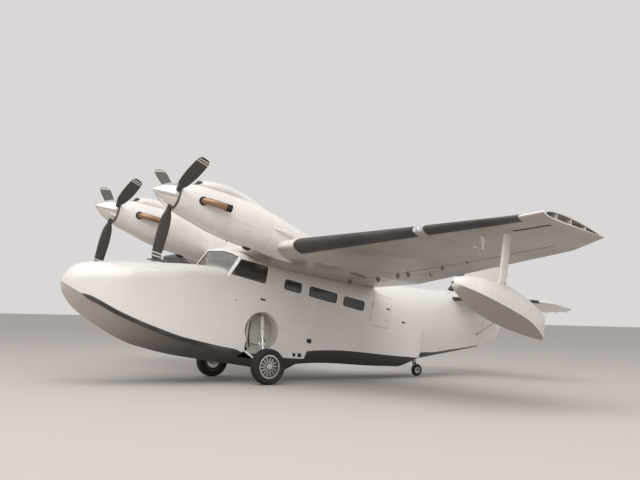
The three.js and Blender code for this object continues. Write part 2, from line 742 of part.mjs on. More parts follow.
const wholeStabilizer = horizontalTail();
const elevatorZone = (gap) => box(ELEVATOR_HINGE_X - gap, 8000, -ELEVATOR_OUT - gap, 0, 2500, 3600)
  .add(rod([ELEVATOR_HINGE_X, -ELEVATOR_OUT - gap, STABILIZER_Z], [ELEVATOR_HINGE_X, 0, STABILIZER_Z],
    ELEVATOR_NOSE + gap, ELEVATOR_NOSE + gap, 16));
const rudderRoom = upZ([[6300, -170], [6300, 200], [7400, 200], [7400, -560], [6760, -170]], 2400, 3700);
const elevatorPin = (play) => rod([ELEVATOR_HINGE_X, -ELEVATOR_OUT - 40, STABILIZER_Z],
  [ELEVATOR_HINGE_X, -ELEVATOR_OUT + PIN_LENGTH + play, STABILIZER_Z], PIN_RADIUS + play);
const elevator = wholeStabilizer.intersect(elevatorZone(0)).subtract(rudderRoom)
  .add(rod([ELEVATOR_HINGE_X, -260, STABILIZER_Z], [ELEVATOR_HINGE_X, -FIT, STABILIZER_Z], TORQUE_TUBE,
    TORQUE_TUBE, 16))
  .subtract(elevatorPin(PIVOT_FIT));
pair('elevator', elevator, COLOUR.white);
const stabilizer = wholeStabilizer.subtract(elevatorZone(RUNNING_GAP))
  .add(elevatorPin(0))
  .subtract(tubeLine(TORQUE_TUBE + 3))
  .subtract(tailFit)
  .subtract(finFit);
pair('stabilizer', stabilizer, COLOUR.white);

const tailStrut = rod([6600, -60, 2330], [6330, -1700, STABILIZER_Z], 17, 17, 12)
  .subtract(tailFit)
  .subtract(loft(HORIZONTAL_TAIL.map(([y, front, back, thickness]) => (
    airfoil(front, back, thickness, 0, FIT).map(([x, z]) => [x, -y, STABILIZER_Z + z])
  ))))
  .intersect(box(5000, 7500, -2500, 0, 2000, STABILIZER_Z));
pair('tailplane_strut', tailStrut, COLOUR.white);

// ENGINES
// Nacelle rings. Columns: x, half width, top z, bottom z
const NACELLE = [
  [-2960, 262, 3322, 2790],
  [-2850, 285, 3350, 2750],
  [-2550, 335, 3400, 2690],
  [-2100, 375, 3430, 2590],
  [-1500, 395, 3420, 2530],
  [-900, 390, 3330, 2500],
  [-300, 350, 3200, 2480],
  [400, 290, 3080, 2560],
  [1200, 220, 2990, 2600],
  [1900, 130, 2890, 2700],
];
// Air scoop on top of the nacelle. Columns: x, half width, top z, bottom z
const SCOOP = [
  [-2640, 150, 3515, 3300],
  [-2450, 180, 3550, 3300],
  [-2000, 205, 3575, 3300],
  [-1500, 200, 3500, 3250],
  [-900, 150, 3310, 3150],
];

function ovalRing(x, halfWidth, topZ, bottomZ, sides = 16) {
  const ring = [];
  for (let i = 0; i < sides; i += 1) {
    const angle = (2 * Math.PI * i) / sides;
    ring.push([x, -NACELLE_Y + halfWidth * Math.cos(angle), (topZ + bottomZ) / 2
      + ((topZ - bottomZ) / 2) * Math.sin(angle)]);
  }
  return ring;
}

function ovalBody(table) {
  return loft(table.map(([x, halfWidth, topZ, bottomZ]) => ovalRing(x, halfWidth, topZ, bottomZ)));
}

const ENGINE_RADIUS = 236;
const SHAFT_RADIUS = 45;
const EXHAUST_X = -2530;
const EXHAUST_Z = 3065;
const FIREWALL_X = -1300;
const scoopMouth = loft([[-2700, 118, 3490, 3340], [-2380, 118, 3500, 3350]].map(
  ([x, halfWidth, topZ, bottomZ]) => ovalRing(x, halfWidth, topZ, bottomZ, 10),
));
const cowlSpace = rod([-2935, -NACELLE_Y, THRUST_Z], [FIREWALL_X, -NACELLE_Y, THRUST_Z],
  ENGINE_RADIUS + 8, ENGINE_RADIUS + 8, 16);
const cowlMouth = rod([-3000, -NACELLE_Y, THRUST_Z], [-2900, -NACELLE_Y, THRUST_Z], 150, 150, 16);
const exhaustHoles = rod([EXHAUST_X, -NACELLE_Y - 500, EXHAUST_Z], [EXHAUST_X, -NACELLE_Y + 500, EXHAUST_Z],
  112, 112, 16);
const FLAP_CLEARANCE = 40;
const nacelle = ovalBody(NACELLE).add(ovalBody(SCOOP))
  .subtract(cowlSpace)
  .subtract(cowlMouth)
  .subtract(exhaustHoles)
  .subtract(scoopMouth)
  .subtract(wingCenterFit)
  .subtract(surfaceZone(SURFACES[0], FLAP_CLEARANCE));
pair('nacelle', nacelle, COLOUR.white);

// Thrust line, nose up a little
const thrustAxis = [-Math.cos(THRUST_PITCH), 0, Math.sin(THRUST_PITCH)];
const hubCentre = [HUB_X, -NACELLE_Y, THRUST_Z];
const onThrust = (distance) => hubCentre.map((value, k) => value + distance * thrustAxis[k]);

const STUB_RADIUS = 62;

function exhaustStub(side) {
  const y = (out) => -NACELLE_Y + side * out;
  const path = new THREE.CatmullRomCurve3([
    [EXHAUST_X, y(150), EXHAUST_Z], [EXHAUST_X, y(290), EXHAUST_Z], [EXHAUST_X + 25, y(370), EXHAUST_Z - 4],
    [EXHAUST_X + 90, y(428), EXHAUST_Z - 12], [EXHAUST_X + 220, y(462), EXHAUST_Z - 30],
    [EXHAUST_X + 520, y(500), EXHAUST_Z - 70],
  ].map((p) => new THREE.Vector3(...p)));
  const section = new THREE.Shape();
  section.absarc(0, 0, STUB_RADIUS, 0, 2 * Math.PI, false);
  return solidOf(new THREE.ExtrudeGeometry(section, { steps: 6, curveSegments: 4, extrudePath: path }));
}

const engine = rod([-2780, -NACELLE_Y, THRUST_Z], [FIREWALL_X - FIT, -NACELLE_Y, THRUST_Z],
  ENGINE_RADIUS, ENGINE_RADIUS, 16)
  .add(rod(onThrust(-60), onThrust(-300), 120, 120, 16))
  .add(rod(onThrust(45), onThrust(-200), SHAFT_RADIUS, SHAFT_RADIUS, 20))
  .add(exhaustStub(-1))
  .add(exhaustStub(1));
pair('engine', engine, COLOUR.steel);

// Blades stand a little turned from the vertical; left and right props turn the same way
const BLADE_TURN = THREE.MathUtils.degToRad(2.7);
// Columns: radius, chord, thickness, angle to the disc in degrees
const BLADE = [
  [60, 92, 92, 84],
  [270, 96, 90, 84],
  [420, 205, 46, 83],
  [750, 256, 28, 79],
  [1000, 246, 20, 75],
  [1170, 222, 15, 73],
  [1235, 120, 10, 72],
];
const PROPELLER_BODY = { left: -1, right: 1 };

function bladeSolid(centreY, turnAngle) {
  const up = new THREE.Vector3(Math.sin(THRUST_PITCH), 0, Math.cos(THRUST_PITCH));
  const forward = new THREE.Vector3(...thrustAxis);
  const outward = up.clone().applyAxisAngle(forward, -turnAngle);
  const tangent = new THREE.Vector3().crossVectors(forward, outward);
  return loft(BLADE.map(([radius, chord, thickness, degrees]) => {
    const pitch = THREE.MathUtils.degToRad(degrees);
    const chordLine = tangent.clone().multiplyScalar(Math.cos(pitch)).addScaledVector(forward, Math.sin(pitch));
    const normal = new THREE.Vector3().crossVectors(outward, chordLine);
    const ring = [];
    for (let i = 0; i < 8; i += 1) {
      const angle = (2 * Math.PI * i) / 8;
      const point = new THREE.Vector3(HUB_X, centreY, THRUST_Z)
        .addScaledVector(outward, radius)
        .addScaledVector(chordLine, (chord / 2) * Math.cos(angle))
        .addScaledVector(normal, (thickness / 2) * Math.sin(angle));
      ring.push(point.toArray());
    }
    return ring;
  }));
}

const SPINNER_RADIUS = 250;
const SPINNER_LENGTH = 455;
const SPINNER_BASE = -42;
const spinnerProfile = [[0, SPINNER_BASE]];
for (let step = 0; step <= 6; step += 1) {
  const t = step / 6;
  spinnerProfile.push([SPINNER_RADIUS * (1 - t ** 1.75) ** 0.93, SPINNER_BASE + t * SPINNER_LENGTH]);
}
spinnerProfile[spinnerProfile.length - 1][0] = 0;

for (const [sideName, side] of Object.entries(PROPELLER_BODY)) {
  const centre = [HUB_X, side * NACELLE_Y, THRUST_Z];
  const point = (distance) => centre.map((value, k) => value + distance * thrustAxis[k]);
  const angles = [-60, 60, 180].map((degrees) => THREE.MathUtils.degToRad(degrees) + BLADE_TURN);
  let blades = rod(point(-36), point(90), 105, 105, 12);
  let shanks = rod(point(-60), point(90 + FIT), 105 + FIT, 105 + FIT, 12);
  for (const angle of angles) {
    blades = blades.add(bladeSolid(centre[1], angle));
    const outward = new THREE.Vector3(Math.sin(THRUST_PITCH), 0, Math.cos(THRUST_PITCH))
      .applyAxisAngle(new THREE.Vector3(...thrustAxis), -angle);
    const tip = new THREE.Vector3(...centre).addScaledVector(outward, 300).toArray();
    shanks = shanks.add(rod(centre, tip, 54, 54, 10));
  }
  const shaftBore = rod(point(-60), point(45 + FIT), SHAFT_RADIUS + 0.8, SHAFT_RADIUS + 0.8, 20);
  piece(`propeller_${sideName}`, blades.subtract(shaftBore), COLOUR.blade);
  const spinner = turned(spinnerProfile, centre, thrustAxis, 20).subtract(shanks);
  piece(`spinner_${sideName}`, spinner, COLOUR.spinner);
}

// WING-TIP FLOATS
// Columns: x, keel z, chine z, half width, top z
const FLOAT_Y = 6540;
const FLOAT = [
  [-290, 1895, 1925, 30, 1975],
  [-200, 1810, 1915, 110, 2050],
  [0, 1700, 1880, 200, 2120],
  [300, 1600, 1825, 275, 2165],
  [700, 1520, 1755, 310, 2165],
  [1100, 1485, 1690, 290, 2115],
  [1500, 1470, 1600, 190, 2010],
  [1850, 1478, 1505, 25, 1890],
];

function floatRing([x, keelZ, chineZ, halfWidth, topZ], grow = 0) {
  const half = [[0, keelZ - grow], [halfWidth + grow, chineZ]];
  for (const degrees of [25, 50, 72]) {
    const angle = THREE.MathUtils.degToRad(degrees);
    half.push([(halfWidth + grow) * Math.cos(angle) ** 0.9, chineZ + (topZ + grow - chineZ) * Math.sin(angle)]);
  }
  half.push([0, topZ + grow]);
  const right = half.map(([y, z]) => [x, -FLOAT_Y + y, z]);
  const left = half.slice(1, -1).reverse().map(([y, z]) => [x, -FLOAT_Y - y, z]);
  return [...right, ...left];
}

pair('wing_float', loft(FLOAT.map((row) => floatRing(row))), COLOUR.white);
const STRUT_CHORD = 175;
const STRUT_THICK = 62;
const strutSection = [];
for (let i = 0; i < 14; i += 1) {
  const angle = (2 * Math.PI * i) / 14;
  strutSection.push([(STRUT_CHORD / 2) * Math.cos(angle), (STRUT_THICK / 2) * Math.sin(angle)]);
}
const floatStrut = loft([[760, 2050], [720, 3120]].map(([x, z]) => strutSection.map(([dx, dy]) => (
  [x + dx, -FLOAT_Y + dy, z]
)))).subtract(loft(FLOAT.map((row) => floatRing(row, FIT)))).subtract(wingSpan(WING_JOIN_Y + FIT / 2, 7600, FIT));
pair('float_strut', floatStrut.intersect(box(0, 2000, -7000, -6000, 2100, 3060)), COLOUR.white);

// MAIN GEAR
const HALF_TRACK = TRACK / 2;
const mainAxle = fromGround(0, -HALF_TRACK, MAIN_TYRE_RADIUS);
const TYRE_WIDTH = 225;
const WHEEL_SIDES = 26;
const RIM_RADIUS = 240;
const RIM_BORE = 34;
const AXLE_RADIUS = RIM_BORE - 0.8;

function tyreProfile(radius, rimRadius, width) {
  const half = width / 2;
  return [
    [rimRadius, -half * 0.62], [rimRadius + (radius - rimRadius) * 0.5, -half],
    [rimRadius + (radius - rimRadius) * 0.86, -half * 0.83], [radius, -half * 0.4],
    [radius, half * 0.4], [rimRadius + (radius - rimRadius) * 0.86, half * 0.83],
    [rimRadius + (radius - rimRadius) * 0.5, half], [rimRadius, half * 0.62], [rimRadius, -half * 0.62],
  ];
}

const mainRim = turned([
  [RIM_BORE, -70], [75, -70], [75, -28], [208, -24], [208, -84], [RIM_RADIUS - FIT, -84],
  [RIM_RADIUS - FIT, 72], [208, 72], [208, 24], [75, 40], [RIM_BORE, 40], [RIM_BORE, -70],
], mainAxle, [0, 1, 0], WHEEL_SIDES, -PARK_ANGLE);
const mainTyre = turned(tyreProfile(MAIN_TYRE_RADIUS, RIM_RADIUS, TYRE_WIDTH), mainAxle, [0, 1, 0], WHEEL_SIDES,
  -PARK_ANGLE);
pair('main_rim', mainRim, COLOUR.white);
pair('main_tyre', mainTyre, COLOUR.rubber);

const [axleX, , axleZ] = mainAxle;
const INNER_END = -HALF_TRACK + 150;
const KNUCKLE_Y = INNER_END + 20;
const knucklePoint = [axleX, KNUCKLE_Y, axleZ + 40];
const legTop = [axleX + 20, -560, 1430];
const gearLeg = rod([axleX, -HALF_TRACK - 66, axleZ], [axleX, KNUCKLE_Y + 20, axleZ], AXLE_RADIUS, AXLE_RADIUS, WHEEL_SIDES)
  .add(rod([axleX, -HALF_TRACK + 40 + FIT, axleZ], [axleX, KNUCKLE_Y + 10, axleZ], 60, 60, 12))
  .add(rod(knucklePoint, [axleX + 8, -880, 760], 34, 34))
  .add(rod([axleX + 6, -900, 720], legTop, 46, 46))
  .add(rod(knucklePoint, [-420, -640, 640], 24, 24, 8))
  .add(rod([axleX, KNUCKLE_Y, axleZ - 10], [120, -560, 600], 24, 24, 8))
  .add(rod([-440, -640, 640], [-400, -640, 640], 40, 40, 8));
const wellFill = hullBody(ROOF, -900, 900, FIT).subtract(wellRoom(FIT));
pair('main_gear_leg', gearLeg.add(rod(legTop, [legTop[0], WELL_FLOOR_Y, 1432], 36, 36, 8))
  .subtract(wellFill), COLOUR.white);

// TAIL WHEEL
const tailAxle = fromGround(WHEELBASE, 0, TAIL_TYRE_RADIUS);
const CASTER_TRAIL = 80;
const TAIL_WHEEL_SIDES = 22;
const swivelAt = (height) => fromGround(WHEELBASE - CASTER_TRAIL, 0, height);
const tailRim = turned([
  [14, -36], [80 - FIT, -36], [80 - FIT, 36], [14, 36], [14, -36],
], tailAxle, [0, 1, 0], TAIL_WHEEL_SIDES, -PARK_ANGLE);
const tailTyre = turned(tyreProfile(TAIL_TYRE_RADIUS, 80, 92), tailAxle, [0, 1, 0], TAIL_WHEEL_SIDES,
  -PARK_ANGLE);
piece('tail_rim', tailRim, COLOUR.white);
piece('tail_tyre', tailTyre, COLOUR.rubber);

const FORK_TOP = 330;
const tailPost = rod(swivelAt(FORK_TOP + FIT), swivelAt(560), 42, 42, 16)
  .add(rod(swivelAt(FORK_TOP - 24), swivelAt(FORK_TOP + 40), 14, 14, 16))
  .subtract(tailFit);
piece('tail_wheel_post', tailPost, COLOUR.steel);
let fork = rod(swivelAt(FORK_TOP - 36), swivelAt(FORK_TOP), 46, 46, 16);
for (const side of [-1, 1]) {
  const y = side * 62;
  const top = swivelAt(FORK_TOP - 16);
  fork = fork.add(rod([top[0], 0, top[2]], [top[0], y + side * 11, top[2]], 15, 15, 12))
    .add(rod([top[0], y, top[2]], [tailAxle[0], y, tailAxle[2]], 11, 11, 12));
}
fork = fork.add(rod([tailAxle[0], -70, tailAxle[2]], [tailAxle[0], 70, tailAxle[2]], 14 - PIVOT_FIT, 14 - PIVOT_FIT, 16))
  .add(rod([tailAxle[0], -74, tailAxle[2]], [tailAxle[0], -52, tailAxle[2]], 22, 22, 16))
  .add(rod([tailAxle[0], 52, tailAxle[2]], [tailAxle[0], 74, tailAxle[2]], 22, 22, 16))
  .subtract(rod(swivelAt(FORK_TOP - 24 - FIT), swivelAt(FORK_TOP + 1), 14 + PIVOT_FIT, 14 + PIVOT_FIT, 16));
piece('tail_wheel_fork', fork, COLOUR.steel);

// Stand the aircraft with the middle of its outline over the origin
model.updateMatrixWorld(true);
const outline = new THREE.Box3().setFromObject(model, true);
airframe.position.set(-(outline.min.x + outline.max.x) / 2, 0, 0);

export default model;
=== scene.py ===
"""A twin-turboprop amphibious flying boat, parked on its wheels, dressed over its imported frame.

Pieces are drawn level, in millimetres, nose on -X and right wing on +Y, as on the builder's
lofting floor. PARKED then sets each one down on the wheels, tail low, in metres.
"""
import math

import bmesh
import bpy
from mathutils import Matrix, Quaternion, Vector


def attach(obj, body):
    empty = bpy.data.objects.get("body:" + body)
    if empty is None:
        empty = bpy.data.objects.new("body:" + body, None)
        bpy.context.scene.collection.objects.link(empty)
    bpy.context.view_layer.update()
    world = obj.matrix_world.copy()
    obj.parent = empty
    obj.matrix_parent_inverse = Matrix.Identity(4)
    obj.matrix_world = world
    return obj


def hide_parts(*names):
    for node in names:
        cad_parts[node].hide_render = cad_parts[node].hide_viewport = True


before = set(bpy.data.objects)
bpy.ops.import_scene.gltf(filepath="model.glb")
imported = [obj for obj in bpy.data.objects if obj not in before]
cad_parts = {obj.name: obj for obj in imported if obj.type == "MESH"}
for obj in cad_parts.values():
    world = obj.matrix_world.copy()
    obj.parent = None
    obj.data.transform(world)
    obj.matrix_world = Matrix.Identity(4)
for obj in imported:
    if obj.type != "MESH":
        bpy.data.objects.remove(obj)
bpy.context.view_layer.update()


# CAMERA
# The eye that looks at the parked aircraft, chest high off its left bow. It has a normal lens
# and leans a little out of level.


def linked(name, data):
    """A new object in the scene."""
    made = bpy.data.objects.new(name, data)
    bpy.context.scene.collection.objects.link(made)
    return made


camera_yaw, camera_pitch, camera_roll = (math.radians(a) for a in (34.038, 5.264, 1.301))
sight = Vector((
    math.sin(camera_yaw) * math.cos(camera_pitch),
    math.cos(camera_yaw) * math.cos(camera_pitch),
    math.sin(camera_pitch),
))
level = sight.cross(Vector((0, 0, 1))).normalized()
raised = level.cross(sight)
across = math.cos(camera_roll) * level + math.sin(camera_roll) * raised
upright = math.cos(camera_roll) * raised - math.sin(camera_roll) * level
camera_data = bpy.data.cameras.new("camera")
camera_data.lens, camera_data.sensor_width = 47.37, 36.0
camera_data.clip_end = 2000
camera = linked("camera", camera_data)
camera.matrix_world = Matrix((across, upright, -sight)).transposed().to_4x4()
camera.matrix_world.translation = (-10.957, -16.083, 1.378)
bpy.context.scene.camera = camera


# STUDIO
# A plain pale floor under an even, overcast light, with one large soft lamp high over the left
# bow. Nothing of it is part of the aircraft.
bpy.context.scene.view_settings.view_transform = "Standard"
bm = bmesh.new()
bmesh.ops.create_grid(bm, x_segments=1, y_segments=1, size=400)
floor_mesh = bpy.data.meshes.new("floor")
bm.to_mesh(floor_mesh)
bm.free()
floor = linked("floor", floor_mesh)
floor_paint = bpy.data.materials.new("floor_paint")
floor_paint.use_nodes = True
floor_shader = floor_paint.node_tree.nodes["Principled BSDF"]
floor_shader.inputs["Base Color"].default_value = (0.50, 0.465, 0.44, 1)
floor_shader.inputs["Roughness"].default_value = 0.85
floor_mesh.materials.append(floor_paint)

world = bpy.data.worlds.new("overcast")
bpy.context.scene.world = world
world.use_nodes = True
sky = world.node_tree.nodes["Background"]
sky.inputs["Color"].default_value = (0.90, 0.875, 0.865, 1)
sky.inputs["Strength"].default_value = 0.78
lamp_data = bpy.data.lights.new("soft_lamp", "AREA")
lamp_data.shape, lamp_data.size, lamp_data.size_y = "RECTANGLE", 26, 26
lamp_data.energy = 4200
lamp = linked("soft_lamp", lamp_data)
lamp.location = (-9, -9, 19)
lamp.rotation_euler = (Vector((0, 0, 1.5)) - lamp.location).to_track_quat("-Z", "Y").to_euler()


# HULL SKINS
# Aluminium sheet riveted over frames. The planing bottom is a shallow vee with two steps, and
# the white sides rise from the chine to a rounded deck. The bottom is grey, with painted shade
# that darkens it further aft.
PARK_ANGLE = math.radians(11.3)
# How far ahead of the middle of the footprint the drawing's zero station stands, in metres
ZERO_AHEAD = 2.1402
PARKED = (
    Matrix.Translation((-ZERO_AHEAD, 0, 0))
    @ Matrix.Rotation(PARK_ANGLE, 4, "Y")
    @ Matrix.Scale(0.001, 4)
)
BOW_TIP, BOW_END, CABIN_END, HULL_END = -4200, -1750, 3900, 6790
# Station, keel z, chine z, chine y
BOTTOM = [
    (-4200, 1130, 1160, 30), (-4150, 990, 1120, 150), (-4030, 850, 1060, 270),
    (-3850, 710, 990, 370), (-3550, 570, 900, 490), (-3200, 440, 785, 580),
    (-2880, 340, 710, 635), (-2500, 268, 640, 680), (-1750, 235, 550, 735),
    (-1000, 265, 535, 755), (-360, 300, 570, 760), (1060, 400, 710, 760),
    (1100, 520, 880, 760), (3900, 1035, 1300, 700), (4370, 1130, 1370, 620),
    (4400, 1255, 1470, 560), (5000, 1460, 1610, 430), (5600, 1670, 1785, 310),
    (6200, 1880, 1950, 180), (6790, 2090, 2125, 50),
]
# Station, side y, side z, top z, squareness of the shoulder
DECK = [
    (-4200, 35, 1175, 1210, 2.0), (-4150, 160, 1200, 1360, 2.0), (-4030, 285, 1250, 1530, 2.0),
    (-3850, 385, 1300, 1630, 2.0), (-3550, 505, 1360, 1725, 2.1), (-3200, 590, 1430, 1810, 2.2),
    (-2880, 640, 1500, 1890, 2.3), (-2500, 685, 1590, 1985, 2.4), (-1750, 735, 1850, 2130, 2.5),
    (-800, 755, 1950, 2290, 2.5),
]
ROOF = [
    (-1750, 735, 2060, 2500, 3.5), (-1350, 745, 2100, 2560, 3.5), (-800, 755, 2120, 2630, 3.4),
    (0, 760, 2150, 2680, 2.8), (1060, 760, 2170, 2740, 2.6), (2740, 755, 2190, 2890, 2.4),
    (3900, 710, 2150, 3030, 2.3), (4400, 640, 2150, 3090, 2.2), (5000, 530, 2180, 3180, 2.2),
    (5600, 400, 2270, 3260, 2.1), (6200, 250, 2430, 3250, 2.0), (6790, 90, 2600, 3220, 2.0),
]


def faired(table, station):
    """The columns of a lofting table at a station, on curves that pass through every row."""
    last = len(table) - 1
    if station <= table[0][0]:
        return table[0][1:]
    if station >= table[last][0]:
        return table[last][1:]
    i = next(k for k in range(last) if station <= table[k + 1][0])
    width = table[i + 1][0] - table[i][0]
    t = (station - table[i][0]) / width

    def rise(k, column):
        return (table[k + 1][column] - table[k][column]) / (table[k + 1][0] - table[k][0])

    def slope(k, column):
        if k in (0, last):
            return rise(min(k, last - 1), column)
        before, after = rise(k - 1, column), rise(k, column)
        return 0 if before * after <= 0 else 2 * before * after / (before + after)

    values = []
    for column in range(1, len(table[0])):
        a, b = table[i][column], table[i + 1][column]
        values.append(
            (1 + 2 * t) * (1 - t) ** 2 * a + t ** 2 * (3 - 2 * t) * b
            + width * (t * (1 - t) ** 2 * slope(i, column) - t ** 2 * (1 - t) * slope(i + 1, column))
        )
    return values


def stations(start, end, table, pitch=80):
    """Frame stations from start to end, through the table's rows, no further apart than pitch."""
    marks = sorted({start, end}.union(row[0] for row in table if start < row[0] < end))
    places = []
    for a, b in zip(marks, marks[1:]):
        bays = max(1, math.ceil((b - a) / pitch))
        places += [a + (b - a) * k / bays for k in range(bays)]
    return places + [end]


def hull_frame(station, upper, grow=0, below=True, above=True):
    """One frame of the hull: its vee bottom, its sides and deck, or both."""
    keel_z, chine_z, chine_y = faired(BOTTOM, station)
    side_y, side_z, top_z, shoulder = faired(upper, station)
    half = []
    if below:
        for t in (0, 0.2, 0.4, 0.6, 0.8):
            half.append((chine_y * t, keel_z + (chine_z - keel_z) * (t - 0.2 * t * (1 - t))))
    half.append((chine_y, chine_z))
    if above:
        for t in (0.2, 0.4, 0.6, 0.8):
            half.append((
                chine_y + (side_y - chine_y) * (t + 0.4 * t * (1 - t)),
                chine_z + (side_z - chine_z) * t,
            ))
        for degrees in (0, 8, 16, 24, 32, 40, 48, 56, 64, 72, 79, 85, 90):
            angle = math.radians(degrees)
            half.append((
                side_y * max(math.cos(angle), 0) ** (2 / shoulder),
                side_z + (top_z - side_z) * math.sin(angle) ** (2 / shoulder),
            ))
    middle = (keel_z + top_z) / 2
    wider, taller = (side_y + grow) / side_y, (top_z - middle + grow) / (top_z - middle)
    right = [(station, y * wider, middle + (z - middle) * taller) for y, z in half]
    left = [(x, -y, z) for x, y, z in reversed(right) if y > 0.01]
    return right + left


def lofted(rings):
    """A closed skin bridged through rings of equally many points."""
    bm = bmesh.new()
    hoops = []
    for ring in rings:
        corners = [bm.verts.new(point) for point in ring]
        hoops.append([bm.edges.new(pair) for pair in zip(corners, corners[1:] + corners[:1])])
    for hoop, following in zip(hoops, hoops[1:]):
        bmesh.ops.bridge_loops(bm, edges=hoop + following)
    for end in (hoops[0], hoops[-1]):
        bmesh.ops.contextual_create(bm, geom=end)
    bmesh.ops.recalc_face_normals(bm, faces=bm.faces)
    return bm


def hull_loft(upper, start, end, grow=0, below=True, above=True):
    return lofted([
        hull_frame(x, upper, grow, below, above) for x in stations(start, end, BOTTOM + upper)
    ])


def carved(bm, operation, *tools):
    """Joins, cuts or keeps closed shapes: UNION, DIFFERENCE or INTERSECT, each tool in turn."""
    blank = linked("blank", bpy.data.meshes.new("blank"))
    shapes = [blank]
    bm.to_mesh(blank.data)
    for tool in tools:
        cutter = linked("cutter", bpy.data.meshes.new("cutter"))
        tool.to_mesh(cutter.data)
        shapes.append(cutter)
        step = blank.modifiers.new("step", "BOOLEAN")
        step.operation, step.object, step.solver = operation, cutter, "MANIFOLD"
    result = blank.evaluated_get(bpy.context.evaluated_depsgraph_get()).to_mesh()
    bm.clear()
    bm.from_mesh(result)
    for shape in shapes:
        mesh = shape.data
        bpy.data.objects.remove(shape)
        bpy.data.meshes.remove(mesh)
    return bm


def block(low, high):
    bm = bmesh.new()
    bmesh.ops.create_cube(bm, size=1)
    size = [b - a for a, b in zip(low, high)]
    middle = [(a + b) / 2 for a, b in zip(low, high)]
    bmesh.ops.scale(bm, vec=size, verts=bm.verts)
    bmesh.ops.translate(bm, vec=middle, verts=bm.verts)
    return bm


def bar(start, end, radius, end_radius=None, sides=32):
    """A round bar or tube blank from one point to another."""
    bm = bmesh.new()
    line = Vector(end) - Vector(start)
    turn = line.to_track_quat("Z", "Y").to_matrix().to_4x4()
    bmesh.ops.create_cone(
        bm, cap_ends=True, segments=sides, radius1=radius,
        radius2=radius if end_radius is None else end_radius, depth=line.length,
        matrix=Matrix.Translation((Vector(start) + Vector(end)) / 2) @ turn,
    )
    return bm


def opposite(bm):
    """The same shape on the other side of the aircraft."""
    other = bm.copy()
    bmesh.ops.scale(other, vec=(1, -1, 1), verts=other.verts)
    bmesh.ops.recalc_face_normals(other, faces=other.faces)
    return other


def fitted(name, bm, paint, slot, body="airframe", nodes=(), crease=34):
    """A drawn piece becomes a real one: parked with the aircraft, painted and carried by a body."""
    bmesh.ops.transform(bm, matrix=PARKED, verts=bm.verts)
    mesh = bpy.data.meshes.new(name)
    bm.to_mesh(mesh)
    bm.free()
    mesh.shade_smooth()
    mesh.set_sharp_from_angle(angle=math.radians(crease))
    mesh.materials.append(paint)
    piece = linked(name, mesh)
    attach(piece, body)
    if nodes:
        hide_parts(*nodes)


def sockets(group, direction, **kinds):
    for name, kind in kinds.items():
        group.interface.new_socket(name.replace("_", " "), in_out=direction, socket_type="NodeSocket" + kind)


def node(tree, kind, inputs=(), **settings):
    """A shader node with its settings; an input is a value or another node's output."""
    made = tree.nodes.new("ShaderNode" + kind)
    for setting, value in settings.items():
        setattr(made, setting, value)
    for socket, value in dict(inputs).items():
        if isinstance(value, bpy.types.NodeSocket):
            tree.links.new(value, made.inputs[socket])
        else:
            made.inputs[socket].default_value = value
    return made


def sums(tree, operation, *values, clamp=False):
    """One step of arithmetic on numbers or outputs."""
    return node(tree, "Math", enumerate(values), operation=operation, use_clamp=clamp).outputs[0]


def ramp(tree, value, start, end, low=0.0, high=1.0, kind="LINEAR"):
    """Takes a value that runs from start to end to one that runs from low to high."""
    limits = {0: value, 1: start, 2: end, 3: low, 4: high}
    return node(tree, "MapRange", limits, interpolation_type=kind).outputs[0]


# Worn finish: broad soiling, streaks that run aft, and a fine grain that dulls the gloss
worn = bpy.data.node_groups.new("worn_finish", "ShaderNodeTree")
sockets(worn, "INPUT", Vector="Vector", Colour="Color", Soil="Color", Soiling="Float", Streaks="Float",
        Roughness="Float", Grain_Size="Float")
sockets(worn, "OUTPUT", Colour="Color", Roughness="Float", Height="Float")
given = worn.nodes.new("NodeGroupInput")
blotch = node(worn, "TexNoise", {
    "Vector": given.outputs["Vector"], "Scale": 1.4, "Detail": 5, "Roughness": 0.6})
run = node(worn, "Mapping", {"Vector": given.outputs["Vector"], "Scale": (0.55, 5.0, 4.0)})
streak = node(worn, "TexNoise", {"Vector": run.outputs[0], "Scale": 2.2, "Detail": 6, "Roughness": 0.65})
grain = node(worn, "TexNoise", {
    "Vector": given.outputs["Vector"], "Scale": given.outputs["Grain Size"], "Detail": 3})
broad = sums(worn, "MULTIPLY", sums(worn, "SUBTRACT", blotch.outputs["Fac"], 0.42, clamp=True), 2.6)
broad = sums(worn, "MULTIPLY", broad, given.outputs["Soiling"], clamp=True)
runs = sums(worn, "MULTIPLY", sums(worn, "SUBTRACT", streak.outputs["Fac"], 0.5, clamp=True), 2.8)
runs = sums(worn, "MULTIPLY", runs, given.outputs["Streaks"], clamp=True)
soiled = sums(worn, "MAXIMUM", broad, runs)
blend = node(worn, "Mix", {0: soiled, 6: given.outputs["Colour"], 7: given.outputs["Soil"]}, data_type="RGBA")
rough = sums(worn, "ADD", given.outputs["Roughness"], sums(worn, "MULTIPLY", soiled, 0.35))
dulled = sums(worn, "MULTIPLY", sums(worn, "SUBTRACT", grain.outputs["Fac"], 0.5), 0.12)
rough = sums(worn, "ADD", rough, dulled)
result = worn.nodes.new("NodeGroupOutput")
worn.links.new(blend.outputs[2], result.inputs["Colour"])
worn.links.new(rough, result.inputs["Roughness"])
worn.links.new(grain.outputs["Fac"], result.inputs["Height"])

# Riveted seams: a thin lap line every frame, with a row of flush rivets on each side of it
RIVET_PITCH, SEAM_WIDTH, ROW_OFFSET, RIVET_FACE, RIVET_EDGE = 0.038, 0.005, 0.016, 0.002, 0.0045
seams = bpy.data.node_groups.new("riveted_seams", "ShaderNodeTree")
sockets(seams, "INPUT", Across="Float", Along="Float", Frame_Pitch="Float")
sockets(seams, "OUTPUT", Seam="Float", Rivets="Float")
given = seams.nodes.new("NodeGroupInput")


